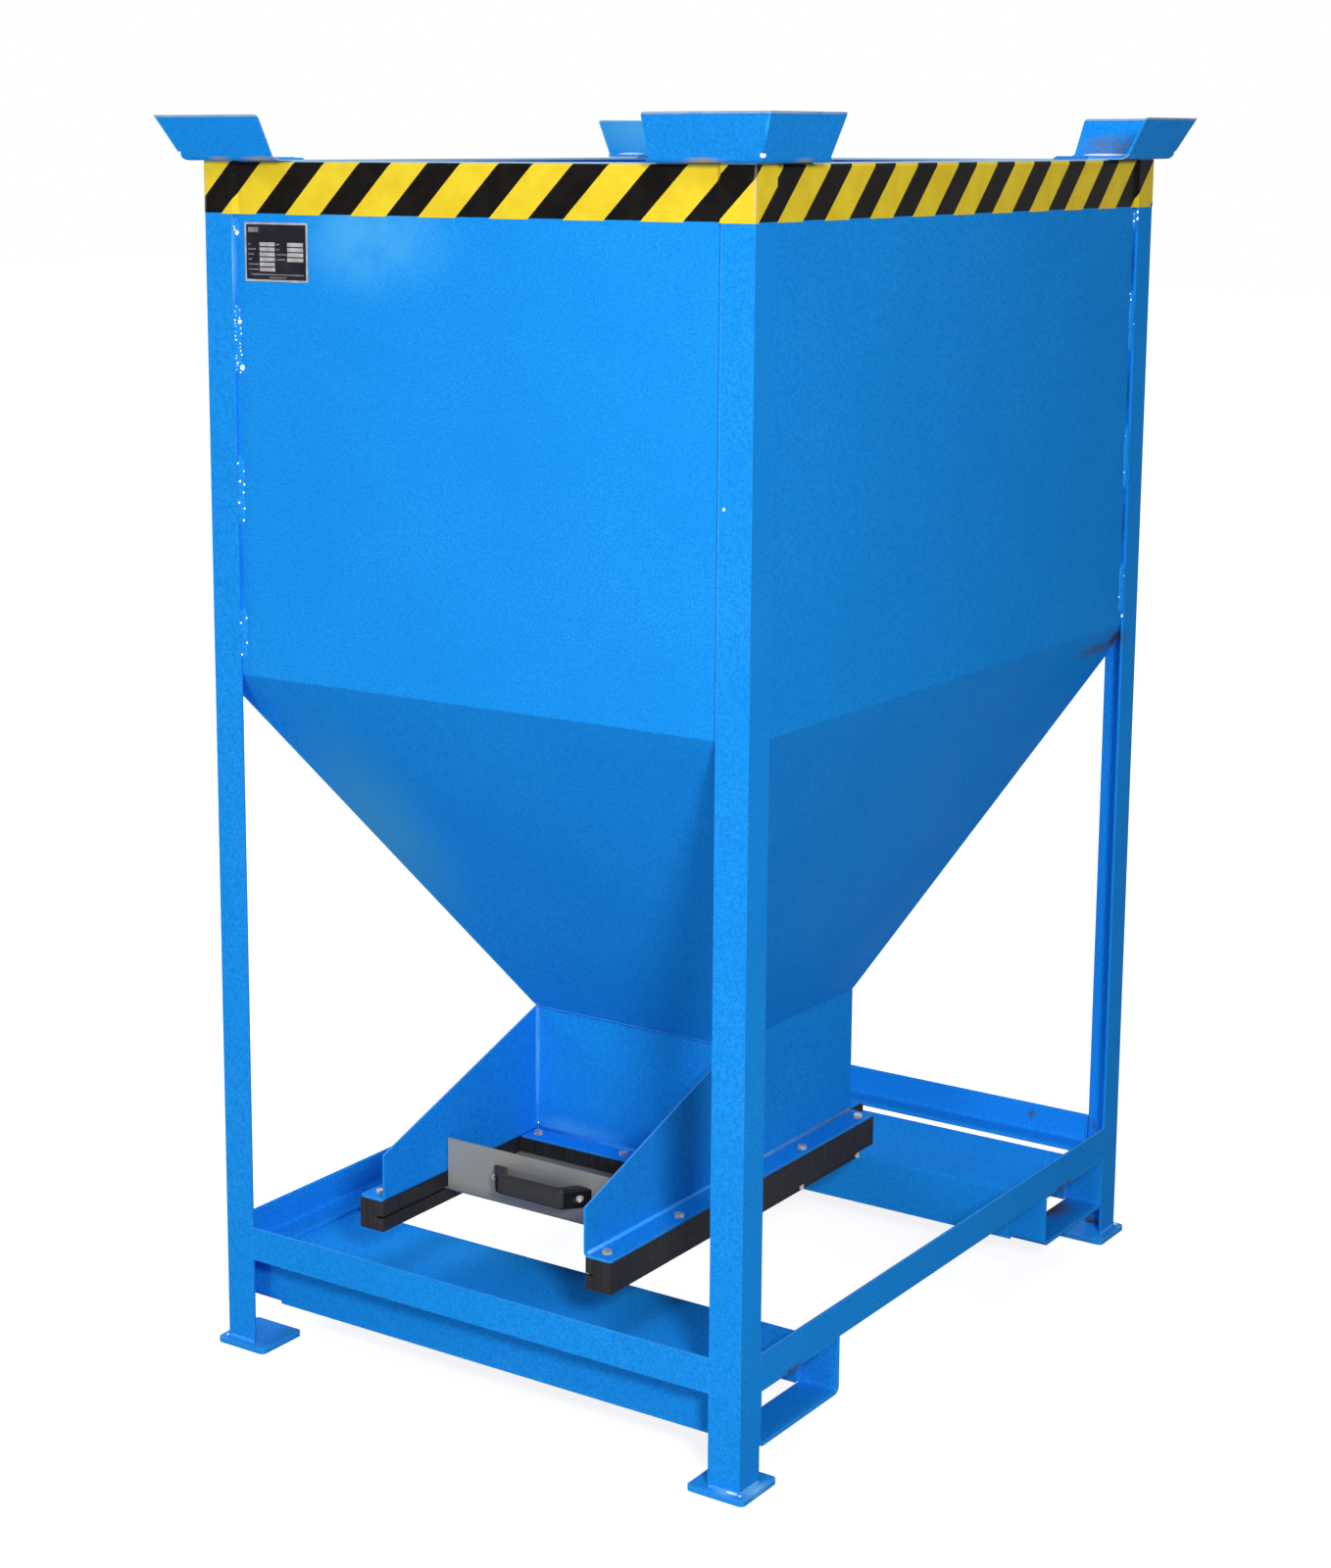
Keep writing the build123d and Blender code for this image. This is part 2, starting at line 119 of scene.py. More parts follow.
# Material helpers
class Tree:
    """Builds the node tree of one material around its shader."""

    def __init__(self, name):
        self.material = bpy.data.materials.new(name)
        self.material.use_nodes = True
        self.tree = self.material.node_tree
        self.shader = self.tree.nodes["Principled BSDF"]
        self.coords = self.node("ShaderNodeTexCoord").outputs["Object"]

    def node(self, kind, **settings):
        made = self.tree.nodes.new(kind)
        for key, value in settings.items():
            setattr(made, key, value)
        return made

    def put(self, socket, value):
        if isinstance(value, bpy.types.NodeSocket):
            self.tree.links.new(value, socket)
        else:
            socket.default_value = value

    def set(self, **values):
        for key, value in values.items():
            self.put(self.shader.inputs[key.replace("_", " ")], value)

    def stretch(self, x, y, z):
        made = self.node("ShaderNodeMapping")
        self.put(made.inputs["Vector"], self.coords)
        made.inputs["Scale"].default_value = (x, y, z)
        return made.outputs["Vector"]

    def noise(self, scale, detail=2.0, rough=0.5, vector=None):
        made = self.node("ShaderNodeTexNoise")
        self.put(made.inputs["Vector"], vector or self.coords)
        made.inputs["Scale"].default_value = scale
        made.inputs["Detail"].default_value = detail
        made.inputs["Roughness"].default_value = rough
        return made.outputs[0]

    def math(self, operation, a, b=0.0):
        made = self.node("ShaderNodeMath", operation=operation)
        self.put(made.inputs[0], a)
        self.put(made.inputs[1], b)
        return made.outputs[0]

    def times(self, a, b):
        return self.math("MULTIPLY", a, b)

    def ramp(self, value, low, high, to_low=0.0, to_high=1.0, kind="SMOOTHSTEP"):
        made = self.node("ShaderNodeMapRange", interpolation_type=kind)
        for socket, entry in zip(made.inputs, (value, low, high, to_low, to_high)):
            self.put(socket, entry)
        return made.outputs[0]

    def mix(self, factor, a, b):
        made = self.node("ShaderNodeMix", data_type="RGBA")
        for index, entry in zip(MIX_INPUTS, (factor, a, b)):
            self.put(made.inputs[index], entry)
        return made.outputs[MIX_OUTPUT]

    def axis(self, name):
        made = self.node("ShaderNodeSeparateXYZ")
        self.put(made.inputs[0], self.coords)
        return made.outputs[name]

    def bump(self, height, strength, distance, normal=None):
        made = self.node("ShaderNodeBump")
        self.put(made.inputs["Height"], height)
        made.inputs["Strength"].default_value = strength
        made.inputs["Distance"].default_value = distance
        if normal is not None:
            self.put(made.inputs["Normal"], normal)
        return made.outputs["Normal"]

    def spot(self, centre, half):
        """1 in the middle of a soft ellipsoid, 0 outside it."""
        off = self.node("ShaderNodeVectorMath", operation="SUBTRACT")
        self.put(off.inputs[0], self.coords)
        off.inputs[1].default_value = centre
        scaled = self.node("ShaderNodeVectorMath", operation="DIVIDE")
        self.put(scaled.inputs[0], off.outputs[0])
        scaled.inputs[1].default_value = half
        far = self.node("ShaderNodeVectorMath", operation="LENGTH")
        self.put(far.inputs[0], scaled.outputs[0])
        return self.ramp(far.outputs["Value"], 1.0, 0.0)

    def upward(self):
        """1 on ground that faces up, 0 on upright and downward ground."""
        made = self.node("ShaderNodeSeparateXYZ")
        self.put(made.inputs[0], self.node("ShaderNodeNewGeometry").outputs["Normal"])
        return self.ramp(made.outputs["Z"], *FACING_UP)

    def edge(self, radius):
        """1 where the surface turns a sharp edge within the radius, 0 on flat ground."""
        rounded = self.node("ShaderNodeBevel", samples=EDGE_SAMPLES)
        rounded.inputs["Radius"].default_value = radius
        flat = self.node("ShaderNodeNewGeometry").outputs["True Normal"]
        made = self.node("ShaderNodeVectorMath", operation="DOT_PRODUCT")
        self.put(made.inputs[0], rounded.outputs[0])
        self.put(made.inputs[1], flat)
        return self.ramp(made.outputs["Value"], *SHARP_TURN)


def rgb(red, green, blue):
    return (red, green, blue, 1.0)


# Marks in the paint, each as a middle, half lengths, a colour and its strength: rust with painted shade
# under the rails, rusty knocks, brown stains, grey scuffs, painted shade in the open seams between the
# stitch welds, the shade along one, painted highlights, a painted glow of reflected light, paler blue,
# painted light on a shaded edge, duller blue and a painted reflection of the tape in the collars' folds
RUST_AND_SHADE = rgb(0.085, 0.055, 0.042)
STAIN = rgb(0.10, 0.075, 0.065)
SCUFF = rgb(0.16, 0.17, 0.17)
OPEN_SEAM_SHADE = rgb(0.02, 0.07, 0.20)
SHADE = rgb(0.008, 0.20, 0.70)
PAINTED_HIGHLIGHT = rgb(0.27, 0.68, 0.95)
PAINTED_GLOW = rgb(0.085, 0.45, 0.90)
PALER_BLUE = rgb(0.11, 0.54, 0.97)
DULL_BLUE = rgb(0.055, 0.35, 0.70)
TAPE_REFLECTION = rgb(0.62, 0.40, 0.03)
OPEN_SEAMS = ((1.592, 0.060), (1.392, 0.055), (1.187, 0.050))
PAINT_MARKS = (
    # Rust on the shelves' cut edges, with painted shade of the gap under the rails
    ((HALF_X, -0.455, RAIL_LOW.z - 0.003), (0.014, 0.050, 0.008), RUST_AND_SHADE, 1.0),
    ((HALF_X, 0.385, RAIL_LOW.z - 0.003), (0.014, 0.065, 0.008), RUST_AND_SHADE, 1.0),
    ((0.388, -0.400, 0.061), (0.006, 0.060, 0.006), RUST_AND_SHADE, 0.8),
    ((0.392, 0.472, 0.061), (0.042, 0.072, 0.020), STAIN, 1.0),
    ((0.412, 0.585, FOOT_TOP), (0.016, 0.018, 0.014), STAIN, 1.0),
    # Painted highlights on the near foot's welds and front edge
    ((HALF_X + 0.008, 0.028 - HALF_Y, FOOT_TOP), (0.012, 0.040, 0.010), PAINTED_HIGHLIGHT, 0.8),
    ((0.428, -HALF_Y - 0.006, FOOT_TOP), (0.020, 0.008, 0.006), PAINTED_HIGHLIGHT, 0.5),
    ((0.411, HALF_Y - 0.005, 0.176), (0.006, 0.006, 0.020), RUST_AND_SHADE, 0.8),
    ((0.298, HALF_Y - 0.005, 0.172), (0.012, 0.004, 0.014), RUST_AND_SHADE, 0.8),
    ((0.365, HALF_Y + 0.020, RIM_Z + 0.020), (0.070, 0.030, 0.030), SCUFF, 0.9),
    # Painted shade in the open seam between the stitch welds beside the rear right post
    *(((BIN_X, HALF_Y - LEG - 0.004, z), (0.004, 0.006, tall), OPEN_SEAM_SHADE, 0.8) for z, tall in OPEN_SEAMS),
    ((LEG - HALF_X + 0.002, -BIN_Y, 1.182), (0.004, 0.005, 0.065), SHADE, 0.8),
    # Painted highlight on the rounded toe of the front left post
    ((LEG - HALF_X, -HALF_Y, 1.612), (0.003, 0.010, 0.085), PAINTED_HIGHLIGHT, 0.7),
    # Painted glow of a reflected lamp on the front wall and on the duct's front above its flange
    ((-0.155, -BIN_Y, 1.652), (0.175, 0.020, 0.105), PAINTED_GLOW, 0.85),
    ((-0.098, -DUCT, FLANGE_TOP + 0.012), (0.110, 0.014, 0.022), PAINTED_GLOW, 0.85),
    # Painted highlight up the weld in the duct's front left inner corner
    ((SHEET - DUCT, -DUCT, FLANGE_TOP + 0.130), (0.007, 0.007, 0.150), PAINTED_HIGHLIGHT, 0.6),
    ((0.434, 0.545, 1.003), (0.025, 0.032, 0.022), STAIN, 1.0),
    ((0.430, 0.490, 0.992), (0.025, 0.100, 0.020), STAIN, 0.6),
    # Paler blue over the rear left collar
    ((-0.420, 0.570, RIM_Z + 0.050), (0.250, 0.250, 0.070), PALER_BLUE, 1.0),
    # Painted light that lifts the shaded edge face of the near post to match the wall beside it
    ((HALF_X - LEG, 0.0025 - HALF_Y, 1.390), (0.003, 0.005, 0.800), PALER_BLUE, 0.7),
    # Duller, darker blue on the left of the front slope
    ((-0.300, -0.400, 0.780), (0.160, 0.300, 0.300), DULL_BLUE, 0.9),
    # Painted reflection of the yellow tape in the front collars' folds
    ((0.386, -HALF_Y - 0.016, RIM_Z + 0.003), (0.042, 0.012, 0.007), TAPE_REFLECTION, 1.0),
    ((HALF_X + 0.016, -0.509, RIM_Z + 0.003), (0.012, 0.030, 0.006), TAPE_REFLECTION, 0.8),
    ((-0.403, -HALF_Y - 0.016, RIM_Z + 0.003), (0.028, 0.012, 0.006), TAPE_REFLECTION, 0.8),
    ((-0.330, -HALF_Y - 0.016, RIM_Z + 0.003), (0.045, 0.012, 0.006), TAPE_REFLECTION, 0.9),
)

# Marks that break up into fine flecks, and those that break up into patches
FLECKED = (RUST_AND_SHADE, SCUFF)
PATCHY = (PAINTED_GLOW,)

# Tones of the blue enamel: dark and light in its cloud, dark in its grain, faded, thin and lit on edges,
# and painted highlights on upper edges, along the collars' tops and on the rim
BLUE_DARK = rgb(0.013, 0.305, 0.90)
BLUE_LIGHT = rgb(0.018, 0.335, 0.955)
BLUE_GRAIN = rgb(0.008, 0.255, 0.78)
BLUE_FADED = rgb(0.10, 0.52, 0.90)
BLUE_THIN_AND_LIT = rgb(0.10, 0.46, 0.96)
BLUE_UPPER_HIGHLIGHT = rgb(0.46, 0.64, 0.76)
BLUE_COLLAR_HIGHLIGHT = rgb(0.50, 0.56, 0.58)
BLUE_RIM_HIGHLIGHT = rgb(0.52, 0.68, 0.72)

# Widths of thin, lit edges and of painted highlights on upper edges, and how far within a level each
# other painted highlight, and the inside band that carries one, starts and is full
THIN_LIT_EDGE = 0.0016
UPPER_HIGHLIGHT_EDGE = 0.004
COLLAR_TOP_HIGHLIGHT = (0.0035, 0.0022)
RIM_HIGHLIGHT = (0.0034, 0.0022)
LIP_HIGHLIGHT = (0.030, 0.012)
INSIDE_WALL = (0.002, 0.004)
ABOVE_RIM = (-0.0004, -0.0002)


# Materials
def within(level, depths):
    """Ends of a ramp at some depths within a level."""
    return [level - depth for depth in depths]


def make_blue_paint(name, gloss, sheen, top_highlight, fade):
    """Sprayed enamel: cloudy tone, orange peel, edges thinned and lit, painted highlights on upper edges
    and rim, and marks.
    """
    tree = Tree(name)
    cloud = tree.noise(3.5, detail=4.0)
    grain = tree.noise(340.0, detail=3.0)
    tone = tree.mix(tree.ramp(cloud, 0.3, 0.7), BLUE_DARK, BLUE_LIGHT)
    tone = tree.mix(tree.ramp(grain, 0.35, 0.62), BLUE_GRAIN, tone)
    tone = tree.mix(fade, tone, BLUE_FADED)
    # Edges lighter: partly thin paint, partly a painted highlight
    thin_lit = tree.times(tree.edge(THIN_LIT_EDGE), tree.ramp(tree.noise(38.0), 0.25, 0.6, 0.05, 0.4))
    tone = tree.mix(thin_lit, tone, BLUE_THIN_AND_LIT)
    # Painted highlight on upward-facing edges
    upper_lit = tree.times(tree.times(tree.edge(UPPER_HIGHLIGHT_EDGE), tree.upward()), top_highlight)
    tone = tree.mix(upper_lit, tone, BLUE_UPPER_HIGHLIGHT)
    height = tree.axis("Z")
    # Painted highlight along the collars' upper edges, broken up by noise
    breakup = tree.ramp(tree.noise(30.0, detail=3.0), 0.25, 0.6, 0.35, 1.0)
    crown = tree.ramp(height, *within(COLLAR_HIGH.z, COLLAR_TOP_HIGHLIGHT), 0.0, top_highlight)
    tone = tree.mix(tree.times(crown, breakup), tone, BLUE_COLLAR_HIGHLIGHT)
    # Painted highlight on the rim, and painted light on the shaded band inside, below the lip
    wide = tree.math("ABSOLUTE", tree.axis("X"))
    deep = tree.math("ABSOLUTE", tree.axis("Y"))
    inner = tree.times(tree.ramp(wide, *within(BIN_X, INSIDE_WALL)),
                       tree.ramp(deep, *within(BIN_Y, INSIDE_WALL)))
    rim = tree.ramp(height, *within(RIM_Z, RIM_HIGHLIGHT), 0.0, 0.5)
    band = tree.times(inner, tree.ramp(height, *within(RIM_Z, LIP_HIGHLIGHT), 0.0, 0.8))
    below = tree.ramp(height, *within(RIM_Z, ABOVE_RIM))
    tone = tree.mix(tree.times(tree.math("MAXIMUM", rim, band), below), tone, BLUE_RIM_HIGHLIGHT)
    fleck = tree.ramp(tree.noise(190.0, detail=4.0, rough=0.7), 0.40, 0.52)
    patch = tree.ramp(tree.noise(11.0, detail=4.0, rough=0.6), 0.30, 0.65, 0.3, 1.0)
    for centre, half, colour, strength in PAINT_MARKS:
        spot = tree.times(tree.spot(centre, half), strength)
        if colour in FLECKED:
            spot = tree.times(spot, fleck)
        if colour in PATCHY:
            spot = tree.times(spot, patch)
        tone = tree.mix(spot, tone, colour)
    satin = tree.ramp(tree.noise(9.0, detail=3.0), 0.3, 0.7, gloss, gloss + 0.1)
    sway = tree.bump(tree.noise(5.0, detail=1.0), 0.12, 0.02)
    peel = tree.bump(tree.noise(330.0, detail=1.5), 0.16, 0.0006, normal=sway)
    tree.set(Base_Color=tone, Roughness=satin, Normal=peel, Specular_IOR_Level=sheen)
    return tree.material


# Where the painted highlight in the folds grows along Y, where the gate's painted reflection grows along
# X, and how far above its lower edge the gate's stain starts and is full
FOLD_HIGHLIGHT_SPAN = (-0.22, -0.05)
GATE_SHEEN = (0.02, -0.17)
GATE_STAIN = (0.022, 0.004)


def make_fold_highlight_blue():
    """Thick glossy enamel in a fold, with a painted highlight that grows towards the back."""
    tree = Tree("blue_paint_with_fold_highlight")
    # Painted highlight, growing towards the back and broken up by noise
    pale = tree.ramp(tree.axis("Y"), *FOLD_HIGHLIGHT_SPAN, 0.15, 0.9)
    broken = tree.ramp(tree.noise(25.0, detail=3.0), 0.3, 0.55, 0.5, 1.0)
    tone = tree.mix(tree.times(pale, broken), rgb(0.013, 0.315, 0.93), rgb(0.13, 0.50, 0.93))
    tree.set(Base_Color=tone, Roughness=0.2, Specular_IOR_Level=0.2)
    return tree.material


def make_black_polyethylene():
    """Sawn polyethylene: upright saw marks on the long faces, grey scuffs and brownish rubbed edges."""
    tree = Tree("black_polyethylene")
    marks = tree.noise(1.0, detail=3.0, vector=tree.stretch(150.0, 150.0, 5.0))
    scuff = tree.noise(60.0, detail=4.0)
    tone = tree.mix(tree.ramp(marks, 0.3, 0.72), rgb(0.018, 0.018, 0.020), rgb(0.034, 0.033, 0.036))
    tone = tree.mix(tree.ramp(scuff, 0.6, 0.78), tone, rgb(0.045, 0.045, 0.048))
    edge = tree.times(tree.edge(0.0022), tree.ramp(tree.noise(30.0), 0.3, 0.6, 0.15, 0.6))
    tone = tree.mix(edge, tone, rgb(0.085, 0.070, 0.060))
    rough = tree.ramp(marks, 0.2, 0.8, 0.48, 0.66)
    normal = tree.bump(marks, 0.35, 0.0012)
    tree.set(Base_Color=tone, Roughness=rough, Normal=normal, Specular_IOR_Level=0.1)
    return tree.material


def make_stainless():
    """Rolled stainless plate: smooth, a little cloudy, with a brownish lower edge."""
    tree = Tree("stainless_plate")
    cloud = tree.ramp(tree.noise(14.0, detail=3.0), 0.3, 0.7)
    tone = tree.mix(cloud, rgb(0.235, 0.235, 0.225), rgb(0.285, 0.285, 0.275))
    # Painted reflection: the plate lighter and tan towards its left
    tone = tree.mix(tree.ramp(tree.axis("X"), *GATE_SHEEN, 0.0, 0.9), tone, rgb(0.44, 0.42, 0.35))
    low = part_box("gate_plate")[0].z
    stain = tree.ramp(tree.axis("Z"), *[low + rise for rise in GATE_STAIN])
    tone = tree.mix(tree.times(stain, 0.5), tone, rgb(0.20, 0.17, 0.145))
    rough = tree.ramp(tree.noise(40.0, detail=3.0), 0.3, 0.7, 0.36, 0.46)
    tree.set(Base_Color=tone, Metallic=0.2, Roughness=rough, Specular_IOR_Level=0.35)
    return tree.material


def make_black_nylon():
    """Moulded nylon: fine pebble and a clear sheen."""
    tree = Tree("black_nylon")
    pebble = tree.noise(900.0, detail=2.0)
    rubbed = tree.ramp(tree.noise(70.0, detail=3.0), 0.45, 0.75)
    tone = tree.mix(rubbed, rgb(0.007, 0.007, 0.008), rgb(0.012, 0.012, 0.014))
    rough = tree.ramp(pebble, 0.3, 0.7, 0.26, 0.34)
    normal = tree.bump(pebble, 0.1, 0.0003)
    tree.set(Base_Color=tone, Roughness=rough, Normal=normal, Specular_IOR_Level=0.38)
    return tree.material


def make_zinc():
    """Yellowed zinc plating with dull patches."""
    tree = Tree("zinc_fastener")
    patch = tree.noise(160.0, detail=3.0)
    tone = tree.mix(tree.ramp(patch, 0.35, 0.65), rgb(0.52, 0.42, 0.33), rgb(0.78, 0.73, 0.66))
    rough = tree.ramp(patch, 0.3, 0.7, 0.3, 0.5)
    tree.set(Base_Color=tone, Metallic=0.5, Roughness=rough)
    return tree.material


def make_drop_finish(name, grain, dark, light, metal, rough):
    """Bright drop on a weld: metal under clear lacquer, or a pale colour that paints a highlight."""
    tree = Tree(name)
    tone = tree.mix(tree.ramp(tree.noise(grain), 0.35, 0.65), dark, light)
    tree.set(Base_Color=tone, Metallic=metal, Roughness=rough)
    return tree.material


# Half lengths of the painted highlight where the tape bends round a post
TAPE_CORNER_HIGHLIGHT = (0.004, 0.004, 0.06)


def make_tape(name, dark, light, rough):
    """Printed vinyl tape, slightly cloudy, with a few long creases and a painted highlight where it
    bends round each post.
    """
    tree = Tree(name)
    cloud = tree.noise(24.0, detail=3.0)
    tone = tree.mix(tree.ramp(cloud, 0.3, 0.7), dark, light)
    dust = tree.ramp(tree.noise(140.0, detail=4.0), 0.62, 0.8)
    tone = tree.mix(tree.times(dust, 0.04), tone, rgb(0.5, 0.5, 0.46))
    # Painted highlight where the tape bends round each post
    for side_x, side_y in SIDES:
        fold = tree.spot((side_x * HALF_X, side_y * HALF_Y, TAPE_MIDDLE), TAPE_CORNER_HIGHLIGHT)
        tone = tree.mix(tree.times(fold, 0.45), tone, rgb(0.62, 0.60, 0.54))
    crease = tree.noise(1.0, detail=2.0, vector=tree.stretch(5.0, 5.0, 130.0))
    normal = tree.bump(crease, 0.12, 0.0015)
    tree.set(Base_Color=tone, Roughness=rough, Normal=normal, Specular_IOR_Level=0.02)
    return tree.material


def make_print(name, grain, dark, light, rough, sheen):
    """Hazy ink or bare metal of the data plate."""
    tree = Tree(name)
    haze = tree.ramp(tree.noise(grain, detail=3.0), 0.35, 0.7)
    tree.set(Base_Color=tree.mix(haze, dark, light), Roughness=rough, Specular_IOR_Level=sheen)
    return tree.material


BLUE = make_blue_paint("blue_paint", gloss=0.38, sheen=0.005, top_highlight=0.35, fade=0.0)
FOOT_BLUE = make_blue_paint("blue_paint_on_feet", gloss=0.3, sheen=0.02, top_highlight=0.5, fade=0.06)
COLLAR_BLUE = make_blue_paint("blue_paint_on_collars", gloss=0.38, sheen=0.01, top_highlight=0.9, fade=0.0)
FOLD_HIGHLIGHT_BLUE = make_fold_highlight_blue()
ZINC = make_zinc()
GLINT = make_drop_finish("weld_drop", 300.0, rgb(0.78, 0.90, 0.96), rgb(0.93, 0.97, 0.99), 1.0, 0.12)
# Pale colour that paints a highlight on strips in the folds and on a weld
GLEAM = make_drop_finish("painted_gleam", 120.0, rgb(0.72, 0.84, 0.88), rgb(0.88, 0.93, 0.94), 0.0, 0.3)
YELLOW = make_tape("tape_yellow", rgb(0.83, 0.60, 0.028), rgb(0.90, 0.69, 0.038), 0.34)
BLACK = make_tape("tape_black", rgb(0.007, 0.0065, 0.006), rgb(0.012, 0.011, 0.010), 0.36)
PRINTS = [
    make_print("plate_silver", 60.0, rgb(0.36, 0.36, 0.37), rgb(0.55, 0.55, 0.56), 0.38, 0.5),
    make_print("plate_ink", 45.0, rgb(0.010, 0.010, 0.017), rgb(0.018, 0.018, 0.028), 0.4, 0.1),
    make_print("plate_grey", 60.0, rgb(0.15, 0.15, 0.16), rgb(0.24, 0.24, 0.25), 0.4, 0.5),
]

# Places of the materials on pieces that have more than one
GLINT_INDEX, GLEAM_INDEX = 0, 1
YELLOW_INDEX, BLACK_INDEX = 0, 1
SILVER_INDEX, INK_INDEX, GREY_INDEX = 0, 1, 2

# Finish of each stock and width of the small round on its edges, and pieces that differ from their stock
STOCK = {
    "blue_paint": (BLUE, 0.001),
    "black_polyethylene": (make_black_polyethylene(), 0.0006),
    "stainless_plate": (make_stainless(), 0.0004),
    "black_nylon": (make_black_nylon(), 0.0006),
    "zinc_fastener": (ZINC, 0.0003),
}
OWN_FINISH = {
    "foot_plate": (FOOT_BLUE, 0.002),
    "stacking_corner": (COLLAR_BLUE, 0.0012),
    "post": (BLUE, 0.002),
}
ROUND_STEPS = 2
ROUND_FROM = math.radians(35)

# Points that lie closer than this are one
SAME_POINT = 0.00001


def dress_nodes():
    """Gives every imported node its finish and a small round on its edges."""
    for part in frame["record"]["subparts"]:
        piece = nodes[part["node"]]
        slot = part["material_slot"]
        kind = next((k for k in OWN_FINISH if part["node"].startswith(k)), None)
        finish, width = OWN_FINISH.get(kind, STOCK[slot])
        mesh = piece.data
        mesh.materials.clear()
        mesh.materials.append(finish)
        normals = mesh.attributes.get("custom_normal")
        if normals:
            mesh.attributes.remove(normals)
        mesh.shade_smooth()
        weld = piece.modifiers.new("merge", "WELD")
        weld.merge_threshold = SAME_POINT
        bevel = piece.modifiers.new("edge", "BEVEL")
        bevel.width = width
        bevel.segments = ROUND_STEPS
        bevel.limit_method = "ANGLE"
        bevel.angle_limit = ROUND_FROM
        bevel.harden_normals = True


# Object and mesh helpers
def add_object(name, data):
    made = bpy.data.objects.new(name, data)
    bpy.context.scene.collection.objects.link(made)
    return made


def add_piece(name, bm, materials):
    """Turns a bmesh into a piece that rides on the container."""
    mesh = bpy.data.meshes.new(name)
    bmesh.ops.recalc_face_normals(bm, faces=bm.faces)
    bm.to_mesh(mesh)
    bm.free()
    for material in materials:
        mesh.materials.append(material)
    piece = add_object(name, mesh)
    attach(piece, "container")
    return piece


def add_rings(bm, rings, index=0):
    """Skins a list of closed rings of points, and caps both ends."""
    made = [[bm.verts.new(point) for point in ring] for ring in rings]
    count = len(made[0])
    for lower, upper in zip(made, made[1:]):
        for i in range(count):
            j = (i + 1) % count
            face = bm.faces.new((lower[i], lower[j], upper[j], upper[i]))
            face.material_index = index
            face.smooth = True
    for ring in (made[0], made[-1]):
        bm.faces.new(ring).material_index = index


def add_ball(bm, detail, radius, shape, index):
    """Smooth ball, brought to its place and shape by a matrix."""
    made = bmesh.ops.create_icosphere(bm, subdivisions=detail, radius=radius)
    bmesh.ops.transform(bm, matrix=shape, verts=made["verts"])
    for vert in made["verts"]:
        for face in vert.link_faces:
            face.smooth = True
            face.material_index = index


# Weld beads: steps along and points across, length and bow of a ripple, depth in the corner, blunt end
BEAD_STEP = 0.001
BEAD_STEPS_LEAST = 4
BEAD_SPAN = 7
BEAD_RIPPLE = 0.0042
BEAD_BOW = 0.55
BEAD_SINK = 0.0003
BEAD_TIP = 0.0006

# How a bead swells along its length, in radians per metre and as a share of its legs, how far it strays
# and how high it and its ripples stand
BEAD_WAVE = 97
BEAD_PHASES = 6.28
BEAD_SWELL = 0.10
BEAD_STRAY = 0.05
BEAD_CROWN = 0.05
BEAD_RIDGE = 0.08

# Drops and strips on the welds: how finely they are divided, and how flat the drops are
DROP_DETAIL = 2
DROP_FLAT = 0.6
GLEAM_DETAIL = 3


def add_bead(bm, start, end, side_a, side_b, leg_a, leg_b, taper=None):
    """Low rippled fillet bead in the corner between two faces that run off along side_a and side_b."""
    length = (end - start).length
    along = (end - start) / length
    out = (side_a + side_b).normalized()
    count = max(BEAD_STEPS_LEAST, round(length / BEAD_STEP))
    wander = rng.uniform(0, BEAD_PHASES)
    rings = []
    for i in range(count + 1):
        u = length * i / count
        ends = min(1.0, (min(u, length - u) + BEAD_TIP) / (taper or leg_a))
        swell = BEAD_SWELL * math.sin(u * BEAD_WAVE + wander)
        size = math.sqrt(ends) * (1 + swell + BEAD_STRAY * rng.uniform(-1, 1))
        centre = start + along * u
        ring = [centre - out * BEAD_SINK]
        for k in range(BEAD_SPAN):
            t = k / (BEAD_SPAN - 1)
            crown = math.sin(math.pi * t)
            phase = (u + BEAD_BOW * BEAD_RIPPLE * crown) / BEAD_RIPPLE
            ripple = abs(math.sin(math.pi * phase))
            lift = size * leg_b * crown * (BEAD_CROWN + BEAD_RIDGE * ripple)
            ring.append(centre + (side_a * leg_a * (1 - t) + side_b * leg_b * t) * size + out * lift)
        rings.append(ring)
    add_rings(bm, rings)


def add_drop(bm, centre, normal, radius):
    """Flattened drop of weld metal."""
    place = Matrix.Translation(centre) @ normal.to_track_quat("Z", "Y").to_matrix().to_4x4()
    add_ball(bm, DROP_DETAIL, radius, place @ Matrix.Scale(DROP_FLAT, 4, Z), GLINT_INDEX)


def add_gleam(bm, middle, along, length, radius):
    """Long strip of painted highlight lying in a fold or on a weld."""
    longer = Matrix.Scale(length / radius / 2, 4, along)
    add_ball(bm, GLEAM_DETAIL, radius, Matrix.Translation(middle) @ longer, GLEAM_INDEX)


# Leg of the beads in the duct and on the base frame, and the wall of its angle and of the fork loops
DUCT_LEG = 0.0045
BASE_LEG = 0.004
ANGLE_WALL = 0.005

# Stitch welds up each seam between post and wall, as lower and upper end, with their legs; the near
# corner has none
WALL_STITCHES = ((1.642, 1.672), (1.455, 1.550), (1.241, 1.340), (1.045, 1.122))
WALL_LEG = 0.009
TOE_LEG = 0.0045
NEAR_CORNER = (1, -1)

